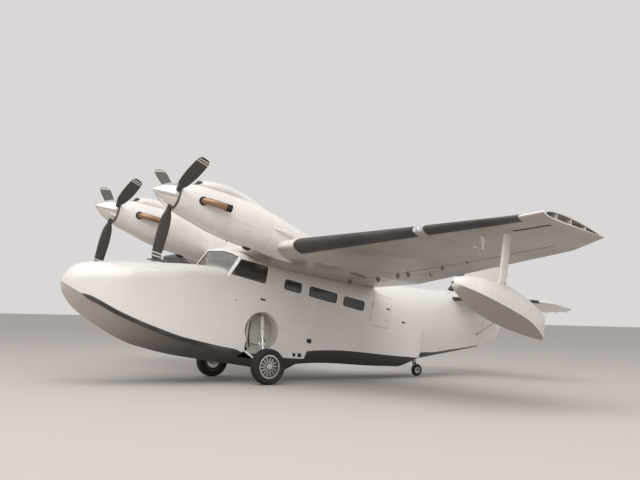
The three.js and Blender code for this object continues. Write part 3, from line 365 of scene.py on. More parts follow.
def off_nearest(tree, value, pitch):
    """The distance from a value to the nearest multiple of the pitch."""
    turns = sums(tree, "DIVIDE", value, pitch)
    return sums(tree, "MULTIPLY", sums(tree, "ABSOLUTE", sums(
        tree, "SUBTRACT", turns, sums(tree, "ROUND", turns))), pitch)


from_line = off_nearest(seams, given.outputs["Across"], given.outputs["Frame Pitch"])
seam = ramp(seams, from_line, 0.0, SEAM_WIDTH, 1.0, 0.0, "SMOOTHSTEP")
from_row = sums(seams, "ABSOLUTE", sums(seams, "SUBTRACT", from_line, ROW_OFFSET))
from_rivet = off_nearest(seams, given.outputs["Along"], RIVET_PITCH)
squares = sums(seams, "ADD", sums(seams, "POWER", from_row, 2.0), sums(seams, "POWER", from_rivet, 2.0))
rivet = ramp(seams, sums(seams, "SQRT", squares), RIVET_FACE, RIVET_EDGE, 1.0, 0.0, "SMOOTHSTEP")
result = seams.nodes.new("NodeGroupOutput")
seams.links.new(seam, result.inputs["Seam"])
seams.links.new(rivet, result.inputs["Rivets"])

LEVEL_TURN = (0, -PARK_ANGLE, 0)
LEVEL_SHIFT = (ZERO_AHEAD * math.cos(PARK_ANGLE), 0, ZERO_AHEAD * math.sin(PARK_ANGLE))
GRIME = (0.36, 0.31, 0.27)


def surface(name, colour, soil=GRIME, roughness=0.4, soiling=0.2, streaks=0.0, metallic=0.0, coat=0.0,
            grain=55.0, relief=0.2):
    """A worn paint, metal or rubber, textured in metres along the level aircraft."""
    made = bpy.data.materials.new(name)
    made.use_nodes = True
    tree = made.node_tree
    shader = tree.nodes["Principled BSDF"]
    place = node(tree, "TexCoord").outputs["Object"]
    drawn = node(tree, "Mapping", {"Vector": place, "Location": LEVEL_SHIFT, "Rotation": LEVEL_TURN})
    drawn.name = "level"
    wear = node(tree, "Group", node_tree=worn)
    wear.name = "wear"
    finish = {"Colour": colour + (1,), "Soil": soil + (1,), "Soiling": soiling, "Streaks": streaks,
              "Roughness": roughness, "Grain Size": grain}
    for socket, value in finish.items():
        wear.inputs[socket].default_value = value
    tree.links.new(drawn.outputs[0], wear.inputs["Vector"])
    tree.links.new(wear.outputs["Colour"], shader.inputs["Base Color"])
    tree.links.new(wear.outputs["Roughness"], shader.inputs["Roughness"])
    bump = node(tree, "Bump", {"Strength": relief, "Distance": 0.001, "Height": wear.outputs["Height"]})
    bump.name = "bump"
    tree.links.new(bump.outputs[0], shader.inputs["Normal"])
    shader.inputs["Metallic"].default_value = metallic
    shader.inputs["Coat Weight"].default_value = coat
    shader.inputs["Coat Roughness"].default_value = 0.1
    return made


def level_axes(paint):
    tree = paint.node_tree
    return node(tree, "SeparateXYZ", {0: tree.nodes["level"].outputs[0]}).outputs


def overlaid(paint, mask, colour):
    """Lays a second colour over the paint wherever the mask is 1."""
    tree = paint.node_tree
    base = tree.nodes["Principled BSDF"].inputs["Base Color"]
    over = node(tree, "Mix", {0: mask, 6: base.links[0].from_socket, 7: colour + (1,)}, data_type="RGBA")
    tree.links.new(over.outputs[2], base)
    return paint


def riveted(paint, across, along, frame_pitch, depth):
    """Adds lap seams and rivet rows; across and along name the level axes that they follow."""
    tree = paint.node_tree
    axes = level_axes(paint)
    laps = node(tree, "Group", node_tree=seams)
    laps.inputs["Frame Pitch"].default_value = frame_pitch
    tree.links.new(axes[across], laps.inputs["Across"])
    tree.links.new(axes[along], laps.inputs["Along"])
    overlaid(paint, sums(tree, "MULTIPLY", laps.outputs["Seam"], depth), (0.30, 0.28, 0.26))
    relief = sums(tree, "SUBTRACT", sums(tree, "MULTIPLY", laps.outputs["Rivets"], 0.5), laps.outputs["Seam"])
    grained = sums(tree, "MULTIPLY", tree.nodes["wear"].outputs["Height"], 0.25)
    tree.links.new(sums(tree, "ADD", relief, grained), tree.nodes["bump"].inputs["Height"])
    return paint


WHITE = (0.80, 0.765, 0.735)
hull_white = riveted(
    surface("hull_white", WHITE, roughness=0.3, soiling=0.10, streaks=0.1, coat=0.4, relief=0.25),
    "X", "Z", 0.62, depth=0.22)
bottom_grey = riveted(
    surface("bottom_grey", (0.64, 0.585, 0.545), (0.42, 0.37, 0.33), roughness=0.5, soiling=0.4, streaks=0.5),
    "X", "Y", 0.62, depth=0.25)
# Painted shade: the bottom keeps its lit grey at the nose and is painted darker aft, where it lies in shade.
aft = ramp(bottom_grey.node_tree, level_axes(bottom_grey)["X"], -4.9, -1.2, 0.0, 0.96, "SMOOTHSTEP")
overlaid(bottom_grey, aft, (0.085, 0.074, 0.068))

bow_sides = hull_loft(DECK, BOW_TIP, BOW_END, below=False)
fitted("bow_skin", bow_sides, hull_white, "white_paint", nodes=("bow",), crease=50)
bow_bottom = hull_loft(DECK, BOW_TIP, BOW_END, above=False)
fitted("bow_planing_skin", bow_bottom, bottom_grey, "bottom_paint", crease=50)
WELL_X, WELL_Z, WELL_RADIUS, WELL_END_Y = -100, 1070, 400, -400


def wheel_well(grow=0):
    """Room for the left main wheel when it is up, with a slot down through the chine for its leg."""
    round_room = bar((WELL_X, -1000, WELL_Z), (WELL_X, WELL_END_Y + grow, WELL_Z), WELL_RADIUS + grow,
                     sides=64)
    slot = block((-420 - grow, -1000, 300 - grow), (140 + grow, -470 + grow, WELL_Z))
    return carved(round_room, "UNION", slot)


wells = [wheel_well(), opposite(wheel_well())]
hull_bottom = hull_loft(ROOF, BOW_END, CABIN_END, above=False)
fitted("planing_skin", carved(hull_bottom, "DIFFERENCE", *wells), bottom_grey, "bottom_paint",
       nodes=("hull_bottom",))
fitted("tail_skin", hull_loft(ROOF, CABIN_END, HULL_END, below=False), hull_white, "white_paint",
       nodes=("tail_section",))
fitted("tail_planing_skin", hull_loft(ROOF, CABIN_END, HULL_END, above=False), bottom_grey, "bottom_paint")


# SPRAY RAILS AND ANTI-GLARE PANEL
# An extruded rail, painted black, turns the spray down along each forward chine, and the deck
# ahead of the windscreen is matt black.
RAIL_START, RAIL_END, RAIL_TAPER = -3860, -520, 160
RAIL_SECTION = [(-30, 40), (4, 44), (24, 26), (30, -6), (20, -34), (-8, -44), (-30, -38)]


def chine_rail():
    rings = []
    for station in stations(RAIL_START, RAIL_END, BOTTOM):
        keel_z, chine_z, chine_y = faired(BOTTOM, station)
        grown = min(1, 0.25 + (station - RAIL_START) / RAIL_TAPER, 0.25 + (RAIL_END - station) / RAIL_TAPER)
        rings.append([(station, -(chine_y + dy * grown), chine_z + dz * grown) for dy, dz in RAIL_SECTION])
    return lofted(rings)


def pair(name, bm, paint, slot, body="airframe", nodes=(), **settings):
    """A left piece and its mirror image; {} in a name stands for the side."""
    for side_name, shape in (("right", opposite(bm)), ("left", bm)):
        carried = [node_name.format(side_name) for node_name in nodes]
        fitted(name.format(side_name), shape, paint, slot, body.format(side_name), carried, **settings)


rail_black = surface("rail_black", (0.013, 0.011, 0.010), (0.30, 0.27, 0.25), roughness=0.35, soiling=0.35,
                     streaks=0.5, coat=0.3)
pair("spray_rail_{}", chine_rail(), rail_black, "bottom_paint")
PANEL_START, PANEL_END = -2420, -1500


def deck_strip(station, grow):
    """The crown of the deck, which ends a little further down on the right than on the left."""
    return hull_frame(station, DECK, grow, below=False)[11:22]


deck_black = surface("deck_black", (0.022, 0.020, 0.020), (0.12, 0.11, 0.10), roughness=0.7, soiling=0.4)
glare_panel = lofted([
    deck_strip(x, 2) + deck_strip(x, -3)[::-1] for x in stations(PANEL_START, PANEL_END, DECK)
])
fitted("anti_glare_panel", glare_panel, deck_black, "white_paint")


# COCKPIT AND CABIN SHELL
# The deck, the raked cockpit and the cabin walls are one riveted shell 50 mm deep, with flush
# windows. It is cut here at the lines where its sub-assemblies are joined.
WALL, COCKPIT_END, FLOOR_Z, ROOF_SPLIT_Z = 50, -200, 1000, 2330
POST_FOOT, POST_RAKE, PANE_SWEEP = Vector((-1530, 0, 2180)), Vector((180, 0, 340)), Vector((410, -700, -130))
PANE_CORNERS = [(0.03, 0.04), (0.975, 0.06), (0.935, 1.2), (0.7, 1.28), (0.44, 1.27), (0.03, 0.99)]
CANOPY_SILL = 1850
SIDE_WINDOW = [(-1075, 2060), (-228, 2052), (-228, 2432), (-888, 2428)]


def on_pane(across, up, depth=0):
    """A point of the left windscreen plane, out from its centre post and up along it."""
    normal = POST_RAKE.cross(PANE_SWEEP).normalized()
    return POST_FOOT + across * PANE_SWEEP + up * POST_RAKE + depth * normal


def behind_windscreen(shift=0):
    """Everything aft of the two windscreen planes, or of planes shifted aft of them."""
    rings = []
    for up in (-5, 2.5):
        post, left = on_pane(0, up), on_pane(2, up)
        back = Vector((400, left.y, left.z))
        ring = [post, left, back, Vector((back.x, -back.y, back.z)), Vector((left.x, -left.y, left.z))]
        rings.append([point + Vector((shift, 0, 0)) for point in ring])
    return lofted(rings)


def pane(margin, front, back):
    """The left windscreen pane, drawn in by a margin and as deep as from front to back."""
    return lofted([[
        on_pane(0.5 + (across - 0.5) * (1 - margin), 0.6 + (up - 0.6) * (1 - margin), depth)
        for across, up in PANE_CORNERS
    ] for depth in (front, back)])


def rounded(bm, edges, offset, segments):
    bmesh.ops.bevel(bm, geom=edges, offset=offset, segments=segments, affect="EDGES", profile=0.5,
                    material=-1)
    return bm


def crosswise(bm):
    """The edges of a shape that run across the aircraft."""
    return [e for e in bm.edges if abs(e.verts[0].co.y - e.verts[1].co.y) > 1]


def side_window(margin):
    """The opening of the window beside the pilot, drawn in by a margin toward its middle."""
    ring = [(x - math.copysign(margin, x + 620), z - math.copysign(margin, z - 2245)) for x, z in SIDE_WINDOW]
    bm = lofted([[(x, y, z) for x, z in ring] for y in (-1200, -300)])
    return rounded(bm, crosswise(bm), 35 - margin / 2, 4)


above_floor = block((-3000, -1500, FLOOR_Z), (4500, 1500, 4000))
deck_room = carved(hull_loft(DECK, BOW_END - 100, -700, -WALL), "INTERSECT", above_floor)
canopy_seat = carved(behind_windscreen(), "INTERSECT", block((-3000, -1500, CANOPY_SILL), (0, 1500, 4000)))
deck = carved(hull_loft(DECK, BOW_END, -801, below=False), "DIFFERENCE", deck_room, canopy_seat)
fitted("cockpit_deck", deck, hull_white, "white_paint", crease=30)

canopy = carved(hull_loft(ROOF, BOW_END + 1, COCKPIT_END, below=False), "INTERSECT", behind_windscreen())
canopy_room = carved(hull_loft(ROOF, BOW_END - 100, COCKPIT_END + 60, -WALL), "INTERSECT",
                     behind_windscreen(WALL * 1.4), above_floor)
openings = [pane(0, -60, 160), side_window(0)]
openings += [opposite(opening) for opening in openings]
deck_seat = block((-3000, -1500, 0), (-801, 1500, CANOPY_SILL))
fitted("canopy_shell", carved(canopy, "DIFFERENCE", deck_seat, canopy_room, *openings, *wells), hull_white,
       "white_paint", nodes=("cockpit_canopy",))


def cabin_wall(station, low, high, grow_out=0, grow_in=-WALL):
    """One frame of a wall strip between two heights, or from the chine up where low is None."""

    def strip(grow):
        points = [p for p in hull_frame(station, ROOF, grow, below=False) if p[1] < 0.01]
        points.reverse()
        edge = []
        for a, b in zip(points, points[1:]):
            if not edge and (low is None or a[2] <= low <= b[2]):
                t = 0 if low is None else (low - a[2]) / (b[2] - a[2])
                edge.append(Vector(a).lerp(Vector(b), t))
            if edge and high is not None and a[2] <= high <= b[2]:
                edge.append(Vector(a).lerp(Vector(b), (high - a[2]) / (b[2] - a[2])))
                break
            if edge:
                edge.append(Vector(b))
        steps = [0.0]
        for a, b in zip(edge, edge[1:]):
            steps.append(steps[-1] + (b - a).length)
        even = []
        for k in range(25):
            reach = steps[-1] * k / 24
            i = next(n for n in range(len(edge) - 1) if reach <= steps[n + 1] + 1e-6)
            span = max(steps[i + 1] - steps[i], 1e-9)
            even.append(edge[i].lerp(edge[i + 1], min(1, (reach - steps[i]) / span)))
        return even

    return strip(grow_out) + strip(grow_in)[::-1]


CABIN_WINDOWS = [(230, 670), (880, 1630), (1820, 2410)]
WINDOW_LOW, WINDOW_HIGH = 2055, 2275


def cabin_window(start, end, margin):
    bm = block((start + margin, -1200, WINDOW_LOW + margin), (end - margin, -200, WINDOW_HIGH - margin))
    return rounded(bm, crosswise(bm), 60 - margin / 2, 6)


def joined(*shapes):
    """Several shapes in one piece, laid together without cutting."""
    whole = bmesh.new()
    for shape in shapes:
        mesh = bpy.data.meshes.new("part")
        shape.to_mesh(mesh)
        whole.from_mesh(mesh)
        bpy.data.meshes.remove(mesh)
        shape.free()
    return whole


DOOR_FRONT, DOOR_WIDTH, DOOR_LOW, DOOR_HIGH, DOOR_HINGE_Y = 2650, 560, 1820, 2530, -770
HINGE_HEIGHTS = (1950, 2270)


def door_room(gap):
    """The space of the door in the left side; its rear edge is round about the hinge line."""
    arc = bar((DOOR_FRONT, DOOR_HINGE_Y, DOOR_LOW - gap), (DOOR_FRONT, DOOR_HINGE_Y, DOOR_HIGH + gap),
              DOOR_WIDTH + gap, sides=96)
    return carved(arc, "INTERSECT", block((DOOR_FRONT + 6 - gap, -900, 0), (DOOR_FRONT + 900, -300, 4000)))


cabin_frames = stations(COCKPIT_END, CABIN_END, BOTTOM + ROOF)
side = lofted([cabin_wall(x, None, ROOF_SPLIT_Z) for x in cabin_frames])
side = carved(side, "DIFFERENCE", wells[0], *[cabin_window(a, b, 0) for a, b in CABIN_WINDOWS])
fitted("side_skin_right", opposite(side), hull_white, "white_paint", nodes=("cabin_side_right",))
side = carved(side, "DIFFERENCE", door_room(6))
hinge_barrels = [
    bar((DOOR_FRONT, DOOR_HINGE_Y, z + a), (DOOR_FRONT, DOOR_HINGE_Y, z + b), 11)
    for z in HINGE_HEIGHTS for a, b in ((-50, -31), (31, 50))
]
fitted("side_skin_left", joined(side, *hinge_barrels), hull_white, "white_paint", nodes=("cabin_side_left",))

roof_half = lofted([cabin_wall(x, ROOF_SPLIT_Z, None) for x in cabin_frames])
roof = joined(opposite(roof_half), carved(roof_half, "DIFFERENCE", door_room(6)))
fitted("roof_skin", roof, hull_white, "white_paint", nodes=("cabin_roof",))

door = lofted([cabin_wall(x, None, None) for x in stations(2600, 3300, BOTTOM + ROOF, 40)])
door = carved(door, "INTERSECT", door_room(0))
door_barrels = [
    bar((DOOR_FRONT, DOOR_HINGE_Y, z - 29), (DOOR_FRONT, DOOR_HINGE_Y, z + 29), 11) for z in HINGE_HEIGHTS
]
door = joined(door, *door_barrels)
fitted("door_skin", door, hull_white, "white_paint", "door_body", nodes=("cabin_door",))


# DOOR AND HULL FITTINGS
# Small parts that are riveted or screwed to the finished skin: the door's flush handle and lock,
# and vents, drains and access plates, painted black.
black_trim = surface("black_trim", (0.02, 0.018, 0.018), (0.10, 0.09, 0.08), roughness=0.5, soiling=0.3)


def side_y(station, height):
    """How far out the hull side is at a station and height."""
    ring = [p for p in hull_frame(station, ROOF, below=False) if p[1] > 0]
    a, b = next(((a, b) for a, b in zip(ring, ring[1:]) if a[2] <= height <= b[2]), (ring[0], ring[0]))
    t = (height - a[2]) / (b[2] - a[2]) if b[2] > a[2] else 0
    return a[1] + (b[1] - a[1]) * t


def plate_on_side(station, height, width, tall, rise=3):
    """A small plate with rounded corners that stands a little proud of the left side."""
    y = side_y(station, height)
    bm = block((station - width / 2, -y - rise, height - tall / 2),
               (station + width / 2, -y + 14, height + tall / 2))
    return rounded(bm, crosswise(bm), 0.2 * min(width, tall), 5)


door_handle = joined(plate_on_side(3120, 2262, 90, 26, 8), plate_on_side(3075, 2262, 26, 26, 12))
fitted("door_handle", door_handle, black_trim, "gear_steel", "door_body", crease=40)
fitted("door_lock", plate_on_side(3125, 2000, 24, 24, 4), black_trim, "gear_steel", "door_body")
# Station, height, width and height of each plate
HULL_PLATES = [(-215, 1718, 120, 40), (1111, 1107, 120, 95), (795, 745, 74, 74), (935, 762, 92, 82),
               (3640, 2060, 95, 38), (-830, 1560, 26, 26)]
pair("hull_vents_{}", joined(*[plate_on_side(*row) for row in HULL_PLATES]), black_trim, "gear_steel")


# GLAZING
# Smoke-tinted acrylic panes 8 mm thick, flat in front and bent to the hull at the sides. They
# sit flush with the skin in black rubber seals.
glazing = bpy.data.materials.new("smoked_acrylic")
glazing.use_nodes = True
tree = glazing.node_tree
shader = tree.nodes["Principled BSDF"]
haze = node(tree, "TexNoise", {"Vector": node(tree, "TexCoord").outputs["Object"], "Scale": 6.0, "Detail": 4})
tint = node(tree, "Mix", {0: haze.outputs["Fac"], 6: (0.72, 0.69, 0.66, 1), 7: (0.80, 0.77, 0.74, 1)},
            data_type="RGBA")
tree.links.new(tint.outputs[2], shader.inputs["Base Color"])
tree.links.new(ramp(tree, haze.outputs["Fac"], 0.0, 1.0, 0.0, 0.015), shader.inputs["Roughness"])
shader.inputs["Transmission Weight"].default_value = 1.0
shader.inputs["IOR"].default_value = 1.49
seal_rubber = surface("seal_rubber", (0.03, 0.028, 0.028), roughness=0.6, soiling=0.2)

pair("windscreen_pane_{}", pane(0.012, 6, 14), glazing, "glazing", nodes=("windscreen_{}",))
windscreen_seal = carved(pane(-0.004, -1, 18), "DIFFERENCE", pane(0.03, -20, 60))
pair("windscreen_seal_{}", windscreen_seal, seal_rubber, "glazing")
# How far each face of a pane or a seal lies out from the skin
PANE_FACES, SEAL_FACES = (-9, -17), (1, -24)


def window_sheet(start, end, top, faces):
    """A sheet bent to the hull side, from below the windows up to a height or to the crown."""
    return lofted([cabin_wall(x, 1900, top, *faces) for x in stations(start, end, BOTTOM + ROOF)])


side_pane = carved(window_sheet(-1150, -150, None, PANE_FACES), "INTERSECT", side_window(3))
pair("side_pane_{}", side_pane, glazing, "glazing", nodes=("cockpit_window_{}",))
seal = carved(window_sheet(-1150, -150, None, SEAL_FACES), "INTERSECT", side_window(-3))
pair("side_pane_seal_{}", carved(seal, "DIFFERENCE", side_window(11)), seal_rubber, "glazing")
panes, seals = [], []
for start, end in CABIN_WINDOWS:
    sheet = window_sheet(150, 2500, ROOF_SPLIT_Z, PANE_FACES)
    panes.append(carved(sheet, "INTERSECT", cabin_window(start, end, 3)))
    sheet = window_sheet(150, 2500, ROOF_SPLIT_Z, SEAL_FACES)
    seal = carved(sheet, "INTERSECT", cabin_window(start, end, -3))
    seals.append(carved(seal, "DIFFERENCE", cabin_window(start, end, 12)))
pair("cabin_panes_{}", joined(*panes), glazing, "glazing", nodes=("cabin_glazing_{}",))
pair("cabin_seals_{}", joined(*seals), seal_rubber, "glazing")


# WHEEL WELLS
# Each main wheel folds into a round sheet-metal tub with stiffening frames, painted off-white, with
# the retraction gear and its hoses on the front wall.
well_white = surface("well_white", (0.70, 0.67, 0.63), (0.30, 0.26, 0.22), roughness=0.45, soiling=0.6,
                     streaks=0.4)
hull_block = hull_loft(ROOF, -900, 700, -6)
liner = carved(carved(wheel_well(9), "DIFFERENCE", wheel_well(0)), "INTERSECT", hull_block)
FRAME_WIDTH, FRAME_DEPTH = 16, 20


def well_ring(y):
    """A stiffening frame round the upper wall of the tub."""
    outer = bar((WELL_X, y, WELL_Z), (WELL_X, y + FRAME_WIDTH, WELL_Z), WELL_RADIUS + 3, sides=64)
    inner = bar((WELL_X, y - 5, WELL_Z), (WELL_X, y + FRAME_WIDTH + 5, WELL_Z), WELL_RADIUS - FRAME_DEPTH,
                sides=64)
    ring = carved(outer, "DIFFERENCE", inner)
    return carved(ring, "INTERSECT", block((-600, -900, WELL_Z), (400, -300, 1500)))


boxes = [
    block((-452, -560, 930), (-300, -404, 1000)), block((-400, -640, 780), (-330, -404, 1330)),
    block((-330, -470, 1180), (-120, -404, 1230)), block((-300, -450, 800), (60, -404, 830)),
]
boxes = [rounded(box, box.edges, 7, 2) for box in boxes]
tub = joined(liner, well_ring(-730), well_ring(-590), *boxes)
pair("wheel_tub_{}", tub, well_white, "white_paint", crease=40)


def round_turn(sides):
    """The angles of equally spaced points round a circle."""
    return [2 * math.pi * k / sides for k in range(sides)]


def extended(points):
    """The points of a curve with one more beyond each end."""
    knots = [Vector(point) for point in points]
    return [2 * knots[0] - knots[1]] + knots + [2 * knots[-1] - knots[-2]]


def curved(knots, i, t):
    """A place on the smooth curve through the knots, t of the way along its bay i."""
    a, b, c, d = knots[i:i + 4]
    return 0.5 * (
        2 * b + (c - a) * t + (2 * a - 5 * b + 4 * c - d) * t ** 2 + (3 * b - a - 3 * c + d) * t ** 3)


def run_at(path, k):
    """The direction of a path at its point k."""
    return (path[min(k + 1, len(path) - 1)] - path[max(k - 1, 0)]).normalized()


def tube(points, radius, sides=16, bends=6):
    """A round tube on a smooth curve through the points."""
    knots = extended(points)
    path = [curved(knots, i, k / bends) for i in range(len(knots) - 3) for k in range(bends)]
    path.append(knots[-2])
    rings, out = [], None
    for k, point in enumerate(path):
        run = run_at(path, k)
        out = run.orthogonal() if out is None else out - run * out.dot(run)
        out.normalize()
        aside = run.cross(out)
        rings.append([point + radius * (math.cos(a) * out + math.sin(a) * aside) for a in round_turn(sides)])
    return lofted(rings)


hose_rubber = surface("hose_rubber", (0.016, 0.015, 0.015), roughness=0.55, soiling=0.3)
hoses = joined(
    tube([(-330, -600, 1310), (-345, -655, 1180), (-330, -650, 1000), (-270, -600, 830), (-200, -560, 700)],
         11),
    tube([(-250, -415, 1240), (-215, -440, 1100), (-225, -450, 950), (-160, -430, 840)], 9),
)
pair("brake_hoses_{}", hoses, hose_rubber, "tyre_rubber")


# COCKPIT INTERIOR
# A painted plywood floor, a black panel of round instruments under a glare shield, two control
# yokes on white columns and two tan leather seats.
floor_grey = surface("floor_grey", (0.20, 0.19, 0.175), (0.08, 0.07, 0.06), roughness=0.7, soiling=0.5)
floor_plate = carved(hull_loft(ROOF, BOW_END + 20, CABIN_END - 10, -20), "INTERSECT",
                     block((-3000, -1500, 960), (4500, 1500, FLOOR_Z)))
floor_plate = carved(floor_plate, "DIFFERENCE", wheel_well(9), opposite(wheel_well(9)))
fitted("cabin_floor", floor_plate, floor_grey, "panel_plastic")
panel_black = surface("panel_black", (0.03, 0.029, 0.028), (0.12, 0.11, 0.10), roughness=0.6, soiling=0.2)
board = carved(hull_loft(DECK, -1500, -1300, -WALL - 1), "INTERSECT",
               block((-1410, -900, 1760), (-1375, 900, 2090)))
shield = carved(hull_loft(DECK, -1520, -1290, -WALL - 4), "INTERSECT",
                block((-1480, -620, 2075), (-1330, 620, 2105)))
fitted("panel_board", joined(board, shield), panel_black, "panel_plastic", nodes=("instrument_panel",))
dial_face = surface("dial_face", (0.06, 0.06, 0.062), (0.3, 0.3, 0.3), roughness=0.25, soiling=0.1)
dials = []
for y in (-470, -340, -210, 210, 340, 470):
    for z in (1850, 1970):
        dials.append(bar((-1378, y, z), (-1368, y, z), 48, 44, sides=32))
for y in (-75, 0, 75):
    for z in (1830, 1910, 1990):
        dials.append(bar((-1378, y, z), (-1369, y, z), 30, 27, sides=24))
fitted("panel_dials", joined(*dials), dial_face, "panel_plastic")
SEAT_Y, SEAT_X = 340, -820
yoke_white = surface("yoke_white", (0.74, 0.72, 0.69), roughness=0.35, soiling=0.15, coat=0.3)
yokes = []
for y in (-SEAT_Y, SEAT_Y):
    yokes.append(tube([(-1372, y, 1800), (-1240, y, 1810), (-1170, y, 1880), (-1150, y, 2010)], 17))
    grips = [(-1150, y - 165, 2130), (-1155, y - 150, 2030), (-1150, y, 2000), (-1155, y + 150, 2030),
             (-1150, y + 165, 2130)]
    yokes.append(tube(grips, 13))
    yokes.append(bar((-1165, y, 2004), (-1130, y, 2004), 34, 28, sides=24))
fitted("control_yokes", joined(*yokes), yoke_white, "panel_plastic", crease=50)
leather = surface("leather", (0.36, 0.21, 0.12), (0.12, 0.07, 0.045), roughness=0.5, soiling=0.35,
                  grain=160.0, relief=0.5)
seat_steel = surface("seat_steel", (0.11, 0.105, 0.10), roughness=0.5, soiling=0.3, metallic=0.6)
cushions, stands = [], []
for y in (-SEAT_Y, SEAT_Y):
    pan = block((SEAT_X - 160, y - 215, 1385), (SEAT_X + 310, y + 215, 1500))
    back = lofted([
        [(SEAT_X + x, y + side * w, z) for x, side in ((near, -1), (far, -1), (far, 1), (near, 1))]
        for near, far, z, w in ((205, 318, 1490, 205), (240, 355, 1700, 210), (300, 395, 1940, 190))
    ])
    headrest = block((SEAT_X + 320, y - 120, 1945), (SEAT_X + 400, y + 120, 2050))
    cushions += [rounded(cushion, cushion.edges, 30, 4) for cushion in (pan, back, headrest)]
    stands.append(block((SEAT_X, y - 90, 1018), (SEAT_X + 200, y + 90, 1388)))
    stands.append(block((SEAT_X - 30, y - 120, FLOOR_Z), (SEAT_X + 230, y + 120, 1020)))
fitted("seat_cushions", joined(*cushions), leather, "seat_leather", nodes=("pilot_seats",), crease=60)
fitted("seat_stands", joined(*stands), seat_steel, "gear_steel")


# WING
# A riveted metal wing in one centre section and two outer panels with dihedral. Flaps and
# ailerons hang in the trailing edge on end pins.
WING_Z, WING_JOIN_Y, WING_TIP_Y, CAMBER = 2680, 2400, 7600, 0.018
RISE_PER_MM = 0.0919
# Distance out, leading edge, trailing edge, chord line z, thickness over chord
WING = [
    (0, -790, 2760, WING_Z, 0.15), (WING_JOIN_Y, -770, 2500, WING_Z, 0.145),
    (6730, 205, 2105, WING_Z + (6730 - WING_JOIN_Y) * RISE_PER_MM, 0.1),
    (7150, 295, 1950, WING_Z + (7150 - WING_JOIN_Y) * RISE_PER_MM, 0.1),
    (WING_TIP_Y, 320, 1780, WING_Z + (WING_TIP_Y - WING_JOIN_Y) * RISE_PER_MM, 0.1),
]


def straight(table, place):
    """The columns of a table at a place, on straight lines between its rows."""
    i = next((k for k in range(len(table) - 2) if place <= table[k + 1][0]), len(table) - 2)
    a, b = table[i], table[i + 1]
    t = (place - a[0]) / (b[0] - a[0])
    return [p + (q - p) * t for p, q in zip(a[1:], b[1:])]


def half_depth(t, chord, thickness):
    """Half the depth of a wing section a fraction of its chord aft, with a trailing edge 6 mm thick."""
    return 5 * thickness * chord * (
        0.2969 * math.sqrt(t) - 0.126 * t - 0.3516 * t ** 2 + 0.2843 * t ** 3 - 0.1036 * t ** 4) + 3 * t


def arch(t, chord, camber=CAMBER):
    """How far the middle of a wing section lies above its chord line."""
    return 4 * camber * chord * t * (1 - t)


def airfoil(front, back, thickness, camber=0.0, until=1.0):
    """A wing section over the top to the nose and back underneath, out to a fraction of its chord."""
    chord, steps = back - front, 16
    upper, lower = [], []
    for k in range(steps + 1):
        t = until * (1 - math.cos(math.pi / 2 * k / steps))
        middle, half = arch(t, chord, camber), half_depth(t, chord, thickness)
        upper.append((front + t * chord, middle + half))
        lower.append((front + t * chord, middle - half))
    return upper[::-1] + lower[1:]


def wing_outline(y, until=1.0):
    front, back, z, thickness = straight(WING, y)
    return [(x, z + dz) for x, dz in airfoil(front, back, thickness, CAMBER, until)]


def wing_span(start, end):
    return lofted([[(x, -y, z) for x, z in wing_outline(y)] for y in stations(start, end, WING, 350)])


# Inner and outer end, hinge x at each, nose radius; and the gap round a moving surface
FLAP_INNER = (830, 2330, 1975, 1890, 132)
FLAP_OUTER = (2470, 4120, 1885, 1830, 104)
AILERON = (4160, 6700, 1825, 1745, 78)
GAP = 6


def hinge_ends(row):
    """Both ends of a hinge line on the middle line of the wing's section."""
    ends = []
    for y, x in ((row[0], row[2]), (row[1], row[3])):
        front, back, z, thickness = straight(WING, y)
        t = (x - front) / (back - front)
        ends.append(Vector((x, -y, z + arch(t, back - front))))
    return ends


def surface_room(row, gap):
    """Everything aft of a hinge line with the round nose on it, between two ends square to the hinge."""
    inner, outer = hinge_ends(row)
    run = (outer - inner).normalized()
    start, end = inner - 300 * run, outer + 300 * run
    corners = [Vector((x, 0, z)) for x, z in ((-gap, 600), (1500, 600), (1500, -600), (-gap, -600))]
    behind = lofted([[point + corner for corner in corners] for point in (start, end)])
    length = bar(inner - gap * run, outer + gap * run, 4000, sides=8)
    return carved(carved(behind, "UNION", bar(start, end, row[4] + gap, sides=48)), "INTERSECT", length)


def hinge_pins(row, play):
    """The pins that reach from the wing into both ends of a moving surface."""
    inner, outer = hinge_ends(row)
    run = (outer - inner).normalized()
    return [bar(inner - 36 * run, inner + (60 + play) * run, 14 + play, sides=20),
            bar(outer + 36 * run, outer - (60 + play) * run, 14 + play, sides=20)]


def downward(tree, start, end, most):
    """A mask over faces that look down, rising as their normal's height goes from start to end."""
    facing = node(tree, "SeparateXYZ", {0: node(tree, "NewGeometry").outputs["Normal"]}).outputs["Z"]
    return ramp(tree, facing, start, end, 0.0, most)


wing_white = riveted(
    surface("wing_white", WHITE, roughness=0.3, soiling=0.12, streaks=0.12, coat=0.4, relief=0.25),
    "Y", "X", 0.45, depth=0.35)
tree = wing_white.node_tree
# Painted shade with some grime: faces of the wing that look down are painted darker, in patches.
patches = node(tree, "TexNoise", {"Vector": tree.nodes["level"].outputs[0], "Scale": 0.9, "Detail": 4})
patchy = ramp(tree, patches.outputs["Fac"], 0.3, 0.7, 0.68, 1.0)
underside_shade_and_grime = sums(tree, "MULTIPLY", downward(tree, -0.1, -0.6, 1.0), patchy)
overlaid(wing_white, underside_shade_and_grime, (0.27, 0.237, 0.215))

